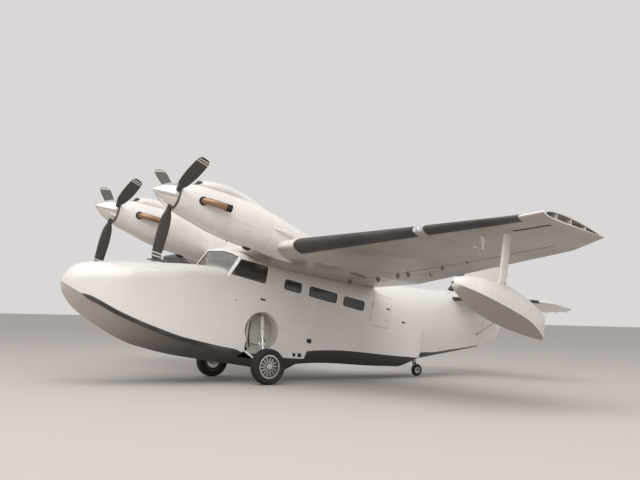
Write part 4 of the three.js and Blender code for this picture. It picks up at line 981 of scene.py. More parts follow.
centre_half = carved(wing_span(0, WING_JOIN_Y - 1), "DIFFERENCE", surface_room(FLAP_INNER, GAP))
centre_half = joined(centre_half, *hinge_pins(FLAP_INNER, 0))
fitted("centre_wing_skin", joined(opposite(centre_half), centre_half), wing_white, "white_paint",
       nodes=("wing_center",), crease=50)
TIP_RECESS_Y = 7440
recess_rings = []
for y in (TIP_RECESS_Y, WING_TIP_Y + 40):
    front, back, z, thickness = straight(WING, min(y, WING_TIP_Y))
    outline = airfoil(front + 60, back - 160, thickness * 0.8, CAMBER)
    recess_rings.append([(x, -y, z + dz) for x, dz in outline])
outer_wing = carved(wing_span(WING_JOIN_Y + 1, WING_TIP_Y), "DIFFERENCE", surface_room(FLAP_OUTER, GAP),
                    surface_room(AILERON, GAP), lofted(recess_rings))
outer_wing = joined(outer_wing, *hinge_pins(FLAP_OUTER, 0), *hinge_pins(AILERON, 0))
pair("outer_wing_skin_{}", outer_wing, wing_white, "white_paint", nodes=("wing_outer_{}",), crease=50)
for name, row, whole in (("flap_inner", FLAP_INNER, wing_span(0, WING_JOIN_Y)),
                         ("flap_outer", FLAP_OUTER, wing_span(WING_JOIN_Y, 6800)),
                         ("aileron", AILERON, wing_span(WING_JOIN_Y, 6800))):
    panel = carved(carved(whole, "INTERSECT", surface_room(row, 0)), "DIFFERENCE", *hinge_pins(row, 0.6))
    pair(name + "_skin_{}", panel, wing_white, "white_paint", name + "_{}_body", nodes=(name + "_{}",),
         crease=40)


# WING FITTINGS
# Black rubber de-icing boots on the leading edge with a landing light between them, flap
# brackets, a pitot mast, the slot that takes the float strut, and three ribs in the open tip.
BOOT_START, BOOT_END, LIGHT_START, LIGHT_END, BOOT_CHORD = 2440, 7130, 5180, 5380, 0.07
boot_rubber = surface("boot_rubber", (0.035, 0.033, 0.033), (0.20, 0.18, 0.17), roughness=0.42, soiling=0.35,
                      streaks=0.2)
BOOT_PROUD, BOOT_DEPTH = 3, -4


def boot_ring(outline):
    """A closed strip along an open outline, from a little outside it to a little inside."""
    moved = []
    for shift in (BOOT_PROUD, BOOT_DEPTH):
        side_points = []
        for k, (x, z) in enumerate(outline):
            (ax, az), (bx, bz) = outline[max(k - 1, 0)], outline[min(k + 1, len(outline) - 1)]
            length = math.hypot(bx - ax, bz - az)
            side_points.append((x + (bz - az) / length * shift, z - (bx - ax) / length * shift))
        moved.append(side_points)
    return moved[0] + moved[1][::-1]


def wing_boot(start, end):
    rows = stations(start, end, WING, 250)
    return lofted([[(x, -y, z) for x, z in boot_ring(wing_outline(y, BOOT_CHORD))] for y in rows])


boot = joined(wing_boot(BOOT_START, LIGHT_START), wing_boot(LIGHT_END, BOOT_END))
pair("wing_boot_{}", boot, boot_rubber, "tyre_rubber", crease=40)
lamp_glass = surface("lamp_glass", (0.75, 0.76, 0.78), roughness=0.12, soiling=0.1, metallic=0.7, coat=1.0)


def leading_edge(y):
    front, back, z, thickness = straight(WING, y)
    return Vector((front, -y, z))


lights = [
    bar(leading_edge(y) + Vector((-14, 0, -8)), leading_edge(y) + Vector((60, 0, -8)), 52, sides=40)
    for y in (5240, 5345)
]
pair("landing_light_{}", joined(*lights), lamp_glass, "polished_aluminium")


def wing_low(x, y):
    """The height of the wing's underside."""
    front, back, z, thickness = straight(WING, y)
    chord = back - front
    t = (x - front) / chord
    return z + arch(t, chord) - half_depth(t, chord, thickness)


def underside_strip(start, end, width, rise):
    """A flat strip on the underside from one (x, y) to another."""
    a, b, parts = Vector(start), Vector(end), 12
    aside = (b - a).normalized().orthogonal() * width / 2
    rings = []
    for k in range(parts + 1):
        middle = a.lerp(b, k / parts)
        (x1, y1), (x2, y2) = middle + aside, middle - aside
        z1, z2 = wing_low(x1, y1), wing_low(x2, y2)
        rings.append([(x1, -y1, z1 - rise), (x2, -y2, z2 - rise), (x2, -y2, z2 + 4), (x1, -y1, z1 + 4)])
    return lofted(rings)


underside_lines = joined(
    underside_strip((646, 6720), (748, 7393), 55, 1.5), underside_strip((1500, 2860), (1648, 4394), 20, 1.5),
    underside_strip((1141, 2772), (1500, 2860), 20, 1.5), underside_strip((1450, 900), (1500, 2330), 16, 1.5),
    underside_strip((1660, 4440), (1700, 6700), 12, 1.5), underside_strip((1380, 2060), (1400, 1900), 26, 2),
)
pair("underside_seams_{}", underside_lines, black_trim, "tyre_rubber")


def bracket(x, y, length, drop):
    """A triangular hinge bracket, 10 mm thick, that hangs under the wing."""
    z = wing_low(x, y)
    outline = [(x - length, z + 15), (x + length, wing_low(x + length, y) + 15), (x + length * 0.3, z - drop)]
    return lofted([[(px, -y - dy, pz) for px, pz in outline] for dy in (-5, 5)])


# Place aft and out, half length and drop of each bracket
BRACKETS = [(1600, 2790, 70, 75), (1640, 3060, 70, 75), (1690, 4000, 60, 60), (1640, 1100, 80, 85),
            (1640, 2100, 80, 80), (1640, 4700, 45, 35), (1600, 5700, 40, 32)]
# Painted shade: the flap brackets are painted dark grey for the shade they hang in under the wing.
bracket_shade_grey = surface("bracket_shade_grey", (0.17, 0.155, 0.145), roughness=0.5, soiling=0.3)
pair("flap_brackets_{}", joined(*[bracket(*row) for row in BRACKETS]), bracket_shade_grey, "gear_steel")
pair("underside_panel_{}", underside_strip((1380, 1960), (900, 2200), 200, 1.5), bracket_shade_grey, "white_paint")
flap_drive = tube([(1900, -3400, wing_low(1900, 3400) - 2), (1975, -3400, wing_low(1975, 3400) - 45)], 9)
pair("flap_drive_{}", flap_drive, black_trim, "gear_steel")
PITOT_X, PITOT_Y = 600, 6120
pitot_z = wing_low(PITOT_X, PITOT_Y)
mast = lofted([[
    (PITOT_X + shift + chord / 2 * math.cos(a), -PITOT_Y + chord / 7 * math.sin(a), pitot_z + z)
    for a in round_turn(20)
] for z, chord, shift in ((8, 120, 0), (-90, 80, 20), (-205, 52, 35))])
pitot_head = tube([(PITOT_X + 70, -PITOT_Y, pitot_z - 210), (PITOT_X - 20, -PITOT_Y, pitot_z - 212),
                   (PITOT_X - 170, -PITOT_Y, pitot_z - 212)], 14)
fitted("pitot_mast", joined(mast, pitot_head), wing_white, "white_paint", crease=40)
tip_rings = [[(x, -y, z) for x, z in wing_outline(y)] for y in (TIP_RECESS_Y - 10, WING_TIP_Y - 8)]
tip_ribs = [
    carved(lofted(tip_rings), "INTERSECT", block((x, -7700, 2500), (x + 16, -7300, 3500)))
    for x in (620, 960, 1300)
]
pair("tip_ribs_{}", joined(*tip_ribs), well_white, "white_paint")


# NACELLES
# A smooth aluminium cowl round each turboprop, faired into the wing, with an air scoop on top
# and an oil-cooler duct on its outer side.
ENGINE_Y, HUB_Z, SCOOP_FOOT, COWL_POWER = 1556, 3060, 3300, 0.9
# Station, half width, top, bottom
COWL = [
    (-2960, 262, 3322, 2790), (-2850, 285, 3350, 2750), (-2550, 335, 3400, 2690), (-2100, 375, 3430, 2590),
    (-1500, 395, 3420, 2530), (-900, 390, 3330, 2500), (-300, 350, 3200, 2480), (400, 290, 3080, 2560),
    (1200, 220, 2990, 2600), (1900, 130, 2890, 2700),
]
SCOOP = [
    (-2760, 132, 3490, 3310), (-2640, 152, 3518, SCOOP_FOOT), (-2450, 180, 3550, SCOOP_FOOT),
    (-2000, 205, 3575, SCOOP_FOOT), (-1500, 200, 3500, 3250), (-900, 150, 3310, 3150),
]


def oval(x, half_width, top, bottom, power=1.0):
    """A section across the left nacelle, an ellipse that a power below 1 squares off."""
    middle, half = (top + bottom) / 2, (top - bottom) / 2
    points = []
    for a in round_turn(48):
        across, up = math.sin(a), math.cos(a)
        points.append((x, -ENGINE_Y + half_width * math.copysign(abs(across) ** power, across),
                       middle + half * math.copysign(abs(up) ** power, up)))
    return points


def cowl_loft(start, end, pitch, grow=0):
    """The cowl between two stations, fuller or slimmer all round by grow."""
    rings = []
    for x in stations(start, end, COWL, pitch):
        half_width, top, bottom = faired(COWL, x)
        rings.append(oval(x, half_width + grow, top + grow, bottom - grow, COWL_POWER))
    return lofted(rings)


def raked(ring):
    """Leans the front of the scoop back, so that its mouth looks up and forward."""
    lean = max(0.0, min(1.0, (-2300 - ring[0][0]) / 460))
    return [(x + lean * 0.95 * (z - SCOOP_FOOT), y, z) for x, y, z in ring]


scoop = lofted([raked(oval(x, *faired(SCOOP, x))) for x in stations(-2760, -900, SCOOP)])
cowl = carved(cowl_loft(-2960, 1900, 80), "UNION", scoop)
wing_cut = lofted([[(x, -y, z) for x, z in wing_outline(y)] for y in (900, 1500, 2200)])
wing_block = carved(wing_cut, "DIFFERENCE", surface_room(FLAP_INNER, GAP))
cowl_mouth = bar((-3000, -ENGINE_Y, HUB_Z), (-2900, -ENGINE_Y, HUB_Z), 152, sides=64)
cowl_room = bar((-2932, -ENGINE_Y, HUB_Z), (-1300, -ENGINE_Y, HUB_Z), 246, sides=64)
# Station, half width, top and bottom of the hollow in the scoop
SCOOP_MOUTH = [(-2820, 190, 3476, 3352), (-2700, 170, 3490, 3352), (-2600, 128, 3500, 3366),
               (-2460, 112, 3510, 3376)]
scoop_mouth = lofted([raked(oval(*row)) for row in SCOOP_MOUTH])
EXHAUST_X, EXHAUST_Z = -2530, 3065


def exhaust_bar(inner, outer, radius):
    """A round bar across the nacelle on the line of its exhausts."""
    return bar((EXHAUST_X, -ENGINE_Y + inner, EXHAUST_Z), (EXHAUST_X, -ENGINE_Y + outer, EXHAUST_Z), radius,
               sides=48)


cowl = carved(cowl, "DIFFERENCE", wing_block, surface_room(FLAP_INNER, 44), cowl_mouth, cowl_room,
              scoop_mouth, exhaust_bar(-500, 500, 84))
cowl_white = riveted(
    surface("cowl_white", WHITE, (0.34, 0.28, 0.24), roughness=0.28, soiling=0.35, streaks=0.35, coat=0.5),
    "X", "Z", 0.55, depth=0.3)
pair("cowl_skin_{}", cowl, cowl_white, "white_paint", nodes=("nacelle_{}",), crease=42)


def cowl_band(start, end):
    """A thin band that wraps the cowl between two stations."""
    return carved(cowl_loft(start, end, 60, 0.7), "DIFFERENCE", cowl_loft(start - 20, end + 20, 60, -8))


# Station, height, bulge and half height of the oil-cooler duct on the cowl's side
SIDE_SCOOP = [(-985, 2970, 3, 4), (-900, 2968, 30, 24), (-780, 2962, 56, 42), (-620, 2952, 62, 52),
              (-530, 2946, 50, 46), (-500, 2944, 30, 30)]


def cowl_side(x, z):
    """How far out the cowl's skin is from its middle at a station and height."""
    half_width, top, bottom = faired(COWL, x)
    up = (z - (top + bottom) / 2) / ((top - bottom) / 2)
    a = math.acos(min(1, abs(up)) ** (1 / COWL_POWER))
    return half_width * math.sin(a) ** COWL_POWER


fairing_rings = []
for x in stations(-985, -500, SIDE_SCOOP, 60):
    z, bulge, half = faired(SIDE_SCOOP, x)
    y = -ENGINE_Y - cowl_side(x, z)
    fairing_rings.append([(x, y - bulge * math.cos(a), z + half * math.sin(a)) for a in round_turn(28)])
# Painted shade: a black plug inside the scoop's mouth stands for the shade in its hollow.
throat = lofted([raked(oval(x, half_width, top, 3340)) for x, half_width, top in (
    (-2716, 122, 3496), (-2600, 134, 3508), (-2480, 130, 3512))])
mouth_shade_black = surface("mouth_shade_black", (0.02, 0.018, 0.017), roughness=0.7)
pair("scoop_throat_{}", throat, mouth_shade_black, "panel_plastic", crease=50)
pair("cowl_side_fairing_{}", lofted(fairing_rings), cowl_white, "white_paint", crease=50)
bare_metal = surface("bare_metal", (0.62, 0.60, 0.57), (0.25, 0.22, 0.20), roughness=0.3, soiling=0.3,
                     metallic=1.0)
bolts = []
for x, z in ((-2700, 3180), (-2150, 2870), (-1500, 2760)):
    out = cowl_side(x, z)
    bolts += [bar((x, -ENGINE_Y - side * (out - 6), z), (x, -ENGINE_Y - side * (out + 3), z), 13, sides=20)
              for side in (-1, 1)]
drains = [
    tube([(-1340, -ENGINE_Y, 2530), (-1310, -ENGINE_Y, 2508), (-1240, -ENGINE_Y, 2500),
          (-1200, -ENGINE_Y, 2520)], 36),
    bar((-284, -1456, 2540), (-284, -1456, 2496), 15, sides=20),
    bar((-270, -1119, 2560), (-270, -1119, 2508), 15, sides=20),
    tube([(-1700, -ENGINE_Y + 60, 2570), (-1690, -ENGINE_Y + 60, 2520)], 9),
]
pair("cowl_latches_{}", joined(*bolts), bare_metal, "polished_aluminium", crease=40)
pair("cowl_drains_{}", joined(*drains), black_trim, "gear_steel")
cowl_seam = surface("cowl_seam", (0.42, 0.39, 0.37), roughness=0.5)
cowl_lines = joined(cowl_band(-1960, -1957), cowl_band(-1000, -997))
pair("cowl_seams_{}", carved(cowl_lines, "DIFFERENCE", wing_block), cowl_seam, "gear_steel")


# ENGINES
# One closed turboprop core inside each cowl, with its gearbox and shaft in front and two
# heat-stained exhaust stubs that turn aft, ringed in black where they leave the cowl.
core_grey = surface("core_grey", (0.16, 0.155, 0.15), roughness=0.5, soiling=0.4, metallic=0.6)
THRUST_PITCH = math.radians(1.6)
thrust = Vector((-math.cos(THRUST_PITCH), 0, math.sin(THRUST_PITCH)))
HUB = Vector((-3020, -ENGINE_Y, HUB_Z))
core = joined(
    bar((-2780, -ENGINE_Y, HUB_Z), (-1302, -ENGINE_Y, HUB_Z), 234, sides=48),
    bar(HUB - 300 * thrust, HUB - 62 * thrust, 118, sides=40),
    bar(HUB - 200 * thrust, HUB + 44 * thrust, 44, sides=32),
)
pair("engine_core_{}", core, core_grey, "gear_steel", nodes=("engine_{}",), crease=40)


# Station, distance out from the nacelle's middle and height along an exhaust stub
STUB = [(-2528, 190, 3065), (-2530, 300, 3066), (-2512, 365, 3067), (-2450, 428, 3065), (-2330, 470, 3060),
        (-2170, 492, 3053), (-2010, 505, 3046)]


def exhaust_pipe(side, radius, start, end):
    """Part of a stub that comes out sideways and sweeps aft, opening to a long oval end."""
    knots = extended([(x, -ENGINE_Y + side * out, z) for x, out, z in STUB])
    count = 40
    shares = [start + (end - start) * k / count for k in range(count + 1)]
    path = []
    for share in shares:
        place = share * (len(knots) - 3)
        i = min(int(place), len(knots) - 4)
        path.append(curved(knots, i, place - i))
    rings = []
    for k, (point, share) in enumerate(zip(path, shares)):
        run = run_at(path, k)
        up = (Vector((0, 0, 1)) - run * run.z).normalized()
        aside = run.cross(up)
        tall = radius * (1 + 0.22 * max(0.0, share - 0.45))
        rings.append([point + tall * math.cos(a) * up + radius * math.sin(a) * aside for a in round_turn(36)])
    return lofted(rings)


exhaust_bronze = surface("exhaust_bronze", (0.36, 0.23, 0.15), (0.05, 0.04, 0.035), roughness=0.34,
                         soiling=0.35, metallic=0.85, streaks=0.2)
soot_black = surface("soot_black", (0.014, 0.012, 0.011), (0.05, 0.04, 0.03), roughness=0.8, soiling=0.3)
pipes, ends, collars = [], [], []
for side in (-1, 1):
    pipes.append(carved(exhaust_pipe(side, 64, 0.0, 0.9), "DIFFERENCE", exhaust_pipe(side, 58, 0.3, 0.92)))
    ends.append(carved(exhaust_pipe(side, 65, 0.88, 1.0), "DIFFERENCE", exhaust_pipe(side, 58, 0.8, 1.02)))
    ends.append(exhaust_pipe(side, 57, 0.3, 0.7))
    collar = exhaust_bar(side * 312, side * 345, 86)
    collars.append(carved(collar, "DIFFERENCE", exhaust_bar(side * 300, side * 350, 66)))
pair("exhaust_pipes_{}", joined(*pipes), exhaust_bronze, "exhaust_steel", crease=40)
pair("exhaust_ends_{}", joined(*ends), soot_black, "exhaust_steel", crease=40)
pair("exhaust_collars_{}", joined(*collars), black_trim, "gear_steel", crease=40)


# PROPELLERS
# Three forged metal blades to a hub, feathered, painted dark grey with two thin white bands
# near the tip, under a polished spinner.
# Distance out, chord, thickness, angle to the disc
BLADE = [
    (60, 92, 92, 84), (200, 92, 92, 84), (270, 100, 88, 84), (420, 205, 46, 83), (600, 242, 34, 81),
    (750, 256, 28, 79), (1000, 246, 20, 75), (1170, 222, 15, 73), (1215, 175, 13, 72), (1235, 120, 10, 72),
]
# The three blades' places round the disc, in degrees
BLADE_TURNS = (-57.3, 62.7, 182.7)
prop_up = Vector((math.sin(THRUST_PITCH), 0, math.cos(THRUST_PITCH)))


def blade_line(turn):
    """The way out from the hub along a blade."""
    return Quaternion(thrust, -math.radians(turn)) @ prop_up


def blade(turn):
    """One blade, lofted through its sections, which twist toward the disc on the way out."""
    outward = blade_line(turn)
    tangent = thrust.cross(outward)
    rings = []
    for reach in sorted({row[0] for row in BLADE} | {60 + 45 * k for k in range(26)}):
        chord, thick, angle = faired(BLADE, reach)
        a = math.radians(angle)
        along = tangent * math.cos(a) + thrust * math.sin(a)
        square = outward.cross(along)
        middle = HUB + outward * reach
        rings.append([middle + along * (chord / 2 * math.cos(b)) + square * (thick / 2 * math.sin(b))
                      for b in round_turn(28)])
    return lofted(rings)


def turned(profile, centre, axis, sides=64):
    """A solid of revolution from a closed profile of (radius, reach along the axis) rows."""
    bm = bmesh.new()
    turn = axis.normalized().to_track_quat("Z", "Y")
    verts = [bm.verts.new((radius, 0, reach)) for radius, reach in profile]
    edges = [bm.edges.new((a, b)) for a, b in zip(verts, verts[1:] + verts[:1])]
    bmesh.ops.spin(bm, geom=verts + edges, cent=(0, 0, 0), axis=(0, 0, 1), angle=2 * math.pi, steps=sides,
                   use_merge=True)
    bmesh.ops.remove_doubles(bm, verts=bm.verts, dist=0.01)
    bmesh.ops.recalc_face_normals(bm, faces=bm.faces)
    bmesh.ops.rotate(bm, verts=bm.verts, cent=(0, 0, 0), matrix=turn.to_matrix())
    bmesh.ops.translate(bm, verts=bm.verts, vec=centre)
    return bm


def twin(name, bm, paint, slot, nodes=()):
    """A propeller piece and its twin on the other engine, which turns the same way."""
    other = bm.copy()
    bmesh.ops.translate(other, verts=other.verts, vec=(0, 2 * ENGINE_Y, 0))
    for side_name, shape in (("right", other), ("left", bm)):
        carried = [node_name.format(side_name) for node_name in nodes]
        fitted(name.format(side_name), shape, paint, slot, "propeller_" + side_name + "_body", carried, 40)


def between(tree, value, low, high):
    """1 where a value lies between two limits, falling off to 0 across them."""
    blur = 0.003
    rise = ramp(tree, value, low - blur, low + blur, kind="SMOOTHSTEP")
    fall = ramp(tree, value, high - blur, high + blur, 1.0, 0.0, "SMOOTHSTEP")
    return sums(tree, "MULTIPLY", rise, fall)


prop_grey = surface("prop_grey", (0.072, 0.061, 0.056), (0.14, 0.12, 0.11), roughness=0.42, soiling=0.3,
                    metallic=0.2)
tree = prop_grey.node_tree
place = level_axes(prop_grey)
sideways = sums(tree, "SUBTRACT", sums(tree, "ABSOLUTE", place["Y"]), ENGINE_Y / 1000)
upward = sums(tree, "SUBTRACT", place["Z"], HUB_Z / 1000)
squares = [sums(tree, "MULTIPLY", value, value) for value in (sideways, upward)]
span = sums(tree, "SQRT", sums(tree, "ADD", *squares))
for low, high in ((1.105, 1.132), (1.165, 1.192)):
    overlaid(prop_grey, between(tree, span, low, high), (0.72, 0.70, 0.67))
barrel = turned([(46, -34), (103, -34), (103, 88), (46, 88)], HUB, thrust)
blades = joined(barrel, *[blade(turn) for turn in BLADE_TURNS])
twin("prop_blades_{}", blades, prop_grey, "blade_paint", nodes=("propeller_{}",))
spinner_metal = surface("spinner_metal", (0.83, 0.81, 0.78), (0.45, 0.42, 0.4), roughness=0.13, soiling=0.12,
                        metallic=1.0, grain=40.0, relief=0.04)
# Radius and reach of the spinner outside, then the same 5 mm further in
dome = [(250 * (1 - t ** 1.75) ** 0.93, -40 + 455 * t) for t in (k / 28 for k in range(28))]
lining = [(max(radius - 5, 0.5), reach - 5 if reach > 0 else reach) for radius, reach in reversed(dome)]
cone = turned(dome + [(0.5, 415), (0.5, 411)] + lining, HUB, thrust)
shank_cuts = [bar(HUB + 60 * blade_line(turn), HUB + 300 * blade_line(turn), 53) for turn in BLADE_TURNS]
back_plate = turned([(106, -40), (247, -40), (247, -30), (106, -30)], HUB, thrust)
shell = joined(carved(cone, "DIFFERENCE", *shank_cuts), carved(back_plate, "DIFFERENCE", *shank_cuts))
twin("spinner_shell_{}", shell, spinner_metal, "polished_aluminium", nodes=("spinner_{}",))
band = turned([(249, -41), (252.5, -41), (252.5, -16), (249, -16)], HUB, thrust)
twin("spinner_band_{}", band, core_grey, "polished_aluminium")


# FLOATS AND FLOAT STRUTS
# A stabilising float under each wing tip on one faired strut. The float is a riveted shell with
# a vee bottom, and folds up to the wing tip in flight.
FLOAT_Y = 6540
# Station, keel, chine, half width, top
FLOAT = [
    (-286, 1890, 1945, 26, 1990), (-262, 1852, 1935, 66, 2022), (-200, 1806, 1918, 112, 2056),
    (0, 1700, 1880, 200, 2120), (300, 1600, 1825, 275, 2165), (700, 1520, 1755, 310, 2165),
    (1100, 1485, 1690, 290, 2115), (1500, 1470, 1600, 190, 2010), (1850, 1478, 1505, 25, 1890),
]


def float_ring(x):
    """A section of the float: a vee bottom that bulges a little, and a rounded top from chine to chine."""
    keel, chine, half_width, top = faired(FLOAT, x)
    right = [(0, keel), (half_width * 0.5, keel + (chine - keel) * 0.47), (half_width, chine)]
    for k in range(1, 13):
        a = math.pi / 2 * k / 12
        right.append((half_width * max(math.cos(a), 0) ** 0.9, chine + (top - chine) * math.sin(a)))
    left = [(-y, z) for y, z in reversed(right) if y > 0.01]
    return [(x, -FLOAT_Y + y, z) for y, z in right + left]


float_white = riveted(
    surface("float_white", WHITE, (0.34, 0.29, 0.25), roughness=0.33, soiling=0.25, streaks=0.3, coat=0.3,
            relief=0.3),
    "X", "Z", 0.30, depth=0.35)
# Painted shade: faces of the float that look down are painted darker.
overlaid(float_white, downward(float_white.node_tree, -0.15, -0.55, 0.85), (0.26, 0.22, 0.195))
pair("float_shell_{}", lofted([float_ring(x) for x in stations(-286, 1850, FLOAT, 70)]), float_white,
     "white_paint", nodes=("wing_float_{}",), crease=32)
rails = []
for side in (-1, 1):
    rings = []
    for x in stations(-200, 1780, FLOAT, 90):
        keel, chine, half_width, top = faired(FLOAT, x)
        y = -FLOAT_Y + side * half_width
        rings.append([(x, y + side * out, chine + up) for out, up in ((-10, 7), (9, 3), (9, -6), (-10, -7))])
    rails.append(lofted(rings))
pair("float_rails_{}", joined(*rails), float_white, "white_paint", crease=30)
bumper = bar((-276, -FLOAT_Y, 1946), (-299, -FLOAT_Y, 1946), 22, 15, sides=24)
pair("float_bumper_{}", bumper, black_trim, "tyre_rubber")
hatches = []
for x in (250, 1150):
    top = faired(FLOAT, x)[3]
    hatches.append(bar((x, -FLOAT_Y + 40, top - 14), (x, -FLOAT_Y + 40, top + 1), 42, sides=28))
pair("float_hatches_{}", joined(*hatches), bare_metal, "polished_aluminium", crease=40)


STRUT_LOW, STRUT_HIGH, STRUT_LOW_X, STRUT_HIGH_X = 2050, 3120, 760, 720


def strut_ring(height, chord, thick):
    """A section of the strut, a streamlined oval with its blunt end forward."""
    share = (height - STRUT_LOW) / (STRUT_HIGH - STRUT_LOW)
    x = STRUT_LOW_X + (STRUT_HIGH_X - STRUT_LOW_X) * share
    ring = []
    for a in round_turn(32):
        y = -FLOAT_Y + thick / 2 * math.sin(a) * (1 - 0.25 * math.cos(a))
        ring.append((x + chord / 2 * math.cos(a), y, height))
    return ring


# Height, chord and thickness
STRUT = [(2062, 176, 63), (2300, 175, 62), (2700, 175, 62), (3085, 175, 62)]
strut = lofted([strut_ring(*row) for row in STRUT])
foot = lofted([strut_ring(*row) for row in ((2118, 250, 112), (2150, 215, 84), (2190, 182, 66))])
strut_white = riveted(
    surface("strut_white", WHITE, (0.3, 0.26, 0.22), roughness=0.3, soiling=0.2, streaks=0.3, coat=0.3),
    "X", "Z", 0.12, depth=0.4)
pair("strut_fairing_{}", joined(strut, foot), strut_white, "white_paint", nodes=("float_strut_{}",),
     crease=40)
strut_bolts = [bar((776, -FLOAT_Y - 60, 2172), (776, -FLOAT_Y + 60, 2172), 16, sides=20),
               bar((700, -FLOAT_Y - 45, 2180), (700, -FLOAT_Y + 45, 2180), 11, sides=20)]
pair("strut_bolts_{}", joined(*strut_bolts), bare_metal, "gear_steel", crease=40)


# FIN AND RUDDER
# A tall riveted fin with a swept leading edge in a black boot, and a rudder on two hinge pins
# with its trim tab and static wicks.
# Height, leading edge, trailing edge, thickness over chord
VERTICAL_TAIL = [
    (2100, 6500, 6880, 0.12), (2370, 6300, 7400, 0.1), (2800, 5900, 7560, 0.1), (3200, 5430, 7570, 0.1),
    (3800, 5800, 7540, 0.1), (4300, 6030, 7480, 0.1), (4650, 6240, 7380, 0.1), (4850, 6460, 7220, 0.1),
    (4940, 6720, 7020, 0.12),
]
RUDDER_X, RUDDER_NOSE, FIN_FOOT, FIN_TOP = 6860, 80, 3190, 4940


def fin_outline(z, until=1.0):
    front, back, thickness = straight(VERTICAL_TAIL, z)
    return airfoil(front, back, thickness, 0.0, until)


def fin_span(start, end):
    return lofted([[(x, -y, z) for x, y in fin_outline(z)] for z in stations(start, end, VERTICAL_TAIL, 160)])


def hinge_bar(low, high, radius, sides=20):
    """A round bar on the rudder's hinge line."""
    return bar((RUDDER_X, 0, low), (RUDDER_X, 0, high), radius, sides=sides)


def rudder_room(gap):
    """Everything aft of the rudder's hinge line with its round nose on it."""
    behind = block((RUDDER_X - gap, -400, 1900), (8000, 400, 5200))
    return carved(behind, "UNION", hinge_bar(1900, 5200, RUDDER_NOSE + gap, sides=48))


tail_white = riveted(
    surface("tail_white", WHITE, roughness=0.3, soiling=0.12, streaks=0.25, coat=0.4, relief=0.25),
    "X", "Z", 0.36, depth=0.35)
fin_shape = carved(fin_span(FIN_FOOT - 4, FIN_TOP), "DIFFERENCE", rudder_room(GAP))
fin_lug = block((6650, -23, 4581), (6882, 23, 4619))
fitted("fin_skin", joined(fin_shape, fin_lug, hinge_bar(4552, 4648, 10)), tail_white, "white_paint",
       nodes=("fin",), crease=40)
sweeps = [hinge_bar(z - 32, z + 32, 47, sides=40) for z in (2390, 4600)]
rudder_shape = carved(fin_span(2105, FIN_TOP), "INTERSECT", rudder_room(0))
rudder_shape = carved(rudder_shape, "DIFFERENCE", *sweeps)
fitted("rudder_skin", rudder_shape, tail_white, "white_paint", "rudder_body", nodes=("rudder",), crease=40)
hinge_arm = joined(block((6700, -23, 2361), (6882, 23, 2419)), hinge_bar(2332, 2448, 10))
fitted("rudder_lower_hinge", hinge_arm, bare_metal, "gear_steel", crease=40)


TAB_X, TAB_SEAM = 7330, 3.5
tab_rings = []
for z in (2600, 2800, 3000, 3200, 3400, 3600):
    front, back, thickness = straight(VERTICAL_TAIL, z)
    chord = back - front
    half = half_depth((TAB_X - front) / chord, chord, thickness)
    tab_rings.append([(TAB_X - TAB_SEAM, -half - 1.5, z), (TAB_X + TAB_SEAM, -half - 1.5, z),
                      (TAB_X + TAB_SEAM, -half + 4, z), (TAB_X - TAB_SEAM, -half + 4, z)])
tab = lofted(tab_rings)
fitted("rudder_tab_seams", joined(opposite(tab), tab), black_trim, "tyre_rubber", "rudder_body")
rudder_wicks = [
    tube([(x - 20, 0, z), (x + 75, 0, z - 6), (x + 120, 0, z - 22)], 3.2, sides=8)
    for x, z in ((7528, 3900), (7492, 4200), (7440, 4450), (7360, 4690))
]
fitted("rudder_wicks", joined(*rudder_wicks), black_trim, "tyre_rubber", "rudder_body")
fin_boot = lofted([
    [(x, -y, z) for x, y in boot_ring(fin_outline(z, BOOT_CHORD))]
    for z in stations(3290, 4860, VERTICAL_TAIL, 120)
])
fitted("fin_boot", fin_boot, boot_rubber, "tyre_rubber", crease=40)


# TAILPLANE AND ELEVATORS
# A fixed tailplane through the fin with black booted leading edges, elevators on one torque
# tube, and a slim strut down to the hull on each side.
TAIL_Z, ELEVATOR_X, ELEVATOR_NOSE, ELEVATOR_END = 3080, 6520, 62, 2800
# Distance out, leading edge, trailing edge, thickness over chord
TAILPLANE = [
    (40, 5430, 7110, 0.09), (2000, 5700, 7060, 0.09), (2600, 5830, 6980, 0.09), (2880, 6010, 6840, 0.09),
    (3000, 6250, 6660, 0.1),
]


def tailplane_outline(y, until=1.0):
    front, back, thickness = straight(TAILPLANE, y)
    return airfoil(front, back, thickness, 0.0, until)


def tailplane_span():
    """The left half of the tail's level surface, before the elevator is cut from it."""
    rows = stations(40, 3000, TAILPLANE, 220)
    return lofted([[(x, -y, TAIL_Z + z) for x, z in tailplane_outline(y)] for y in rows])


def elevator_room(gap):
    """Everything aft of the elevator's hinge line with its round nose on it, out to its end."""
    behind = block((ELEVATOR_X - gap, -ELEVATOR_END - gap, 2700), (8000, 100, 3500))
    nose = bar((ELEVATOR_X, 100, TAIL_Z), (ELEVATOR_X, -ELEVATOR_END - gap, TAIL_Z), ELEVATOR_NOSE + gap,
               sides=48)
    return carved(behind, "UNION", nose)


# The room at the root that the swinging rudder needs, seen from above
RUDDER_SWING = [(6300, -170), (6300, 200), (7400, 200), (7400, -560), (6760, -170)]
rudder_clear = lofted([[(x, y, z) for x, y in RUDDER_SWING] for z in (2400, 3700)])
tailplane = carved(tailplane_span(), "DIFFERENCE", elevator_room(GAP))
pair("tailplane_skin_{}", tailplane, tail_white, "white_paint", nodes=("stabilizer_{}",), crease=40)
elevator = carved(carved(tailplane_span(), "INTERSECT", elevator_room(0)), "DIFFERENCE", rudder_clear)
torque = bar((ELEVATOR_X, -175, TAIL_Z), (ELEVATOR_X, 0, TAIL_Z), 25, sides=28)
pair("elevator_skin_{}", joined(elevator, torque), tail_white, "white_paint", "elevator_body",
     nodes=("elevator_{}",), crease=40)
tail_boot = lofted([
    [(x, -y, TAIL_Z + z) for x, z in boot_ring(tailplane_outline(y, BOOT_CHORD))]
    for y in stations(150, 2700, TAILPLANE, 200)
])
pair("tailplane_boot_{}", tail_boot, boot_rubber, "tyre_rubber", crease=40)
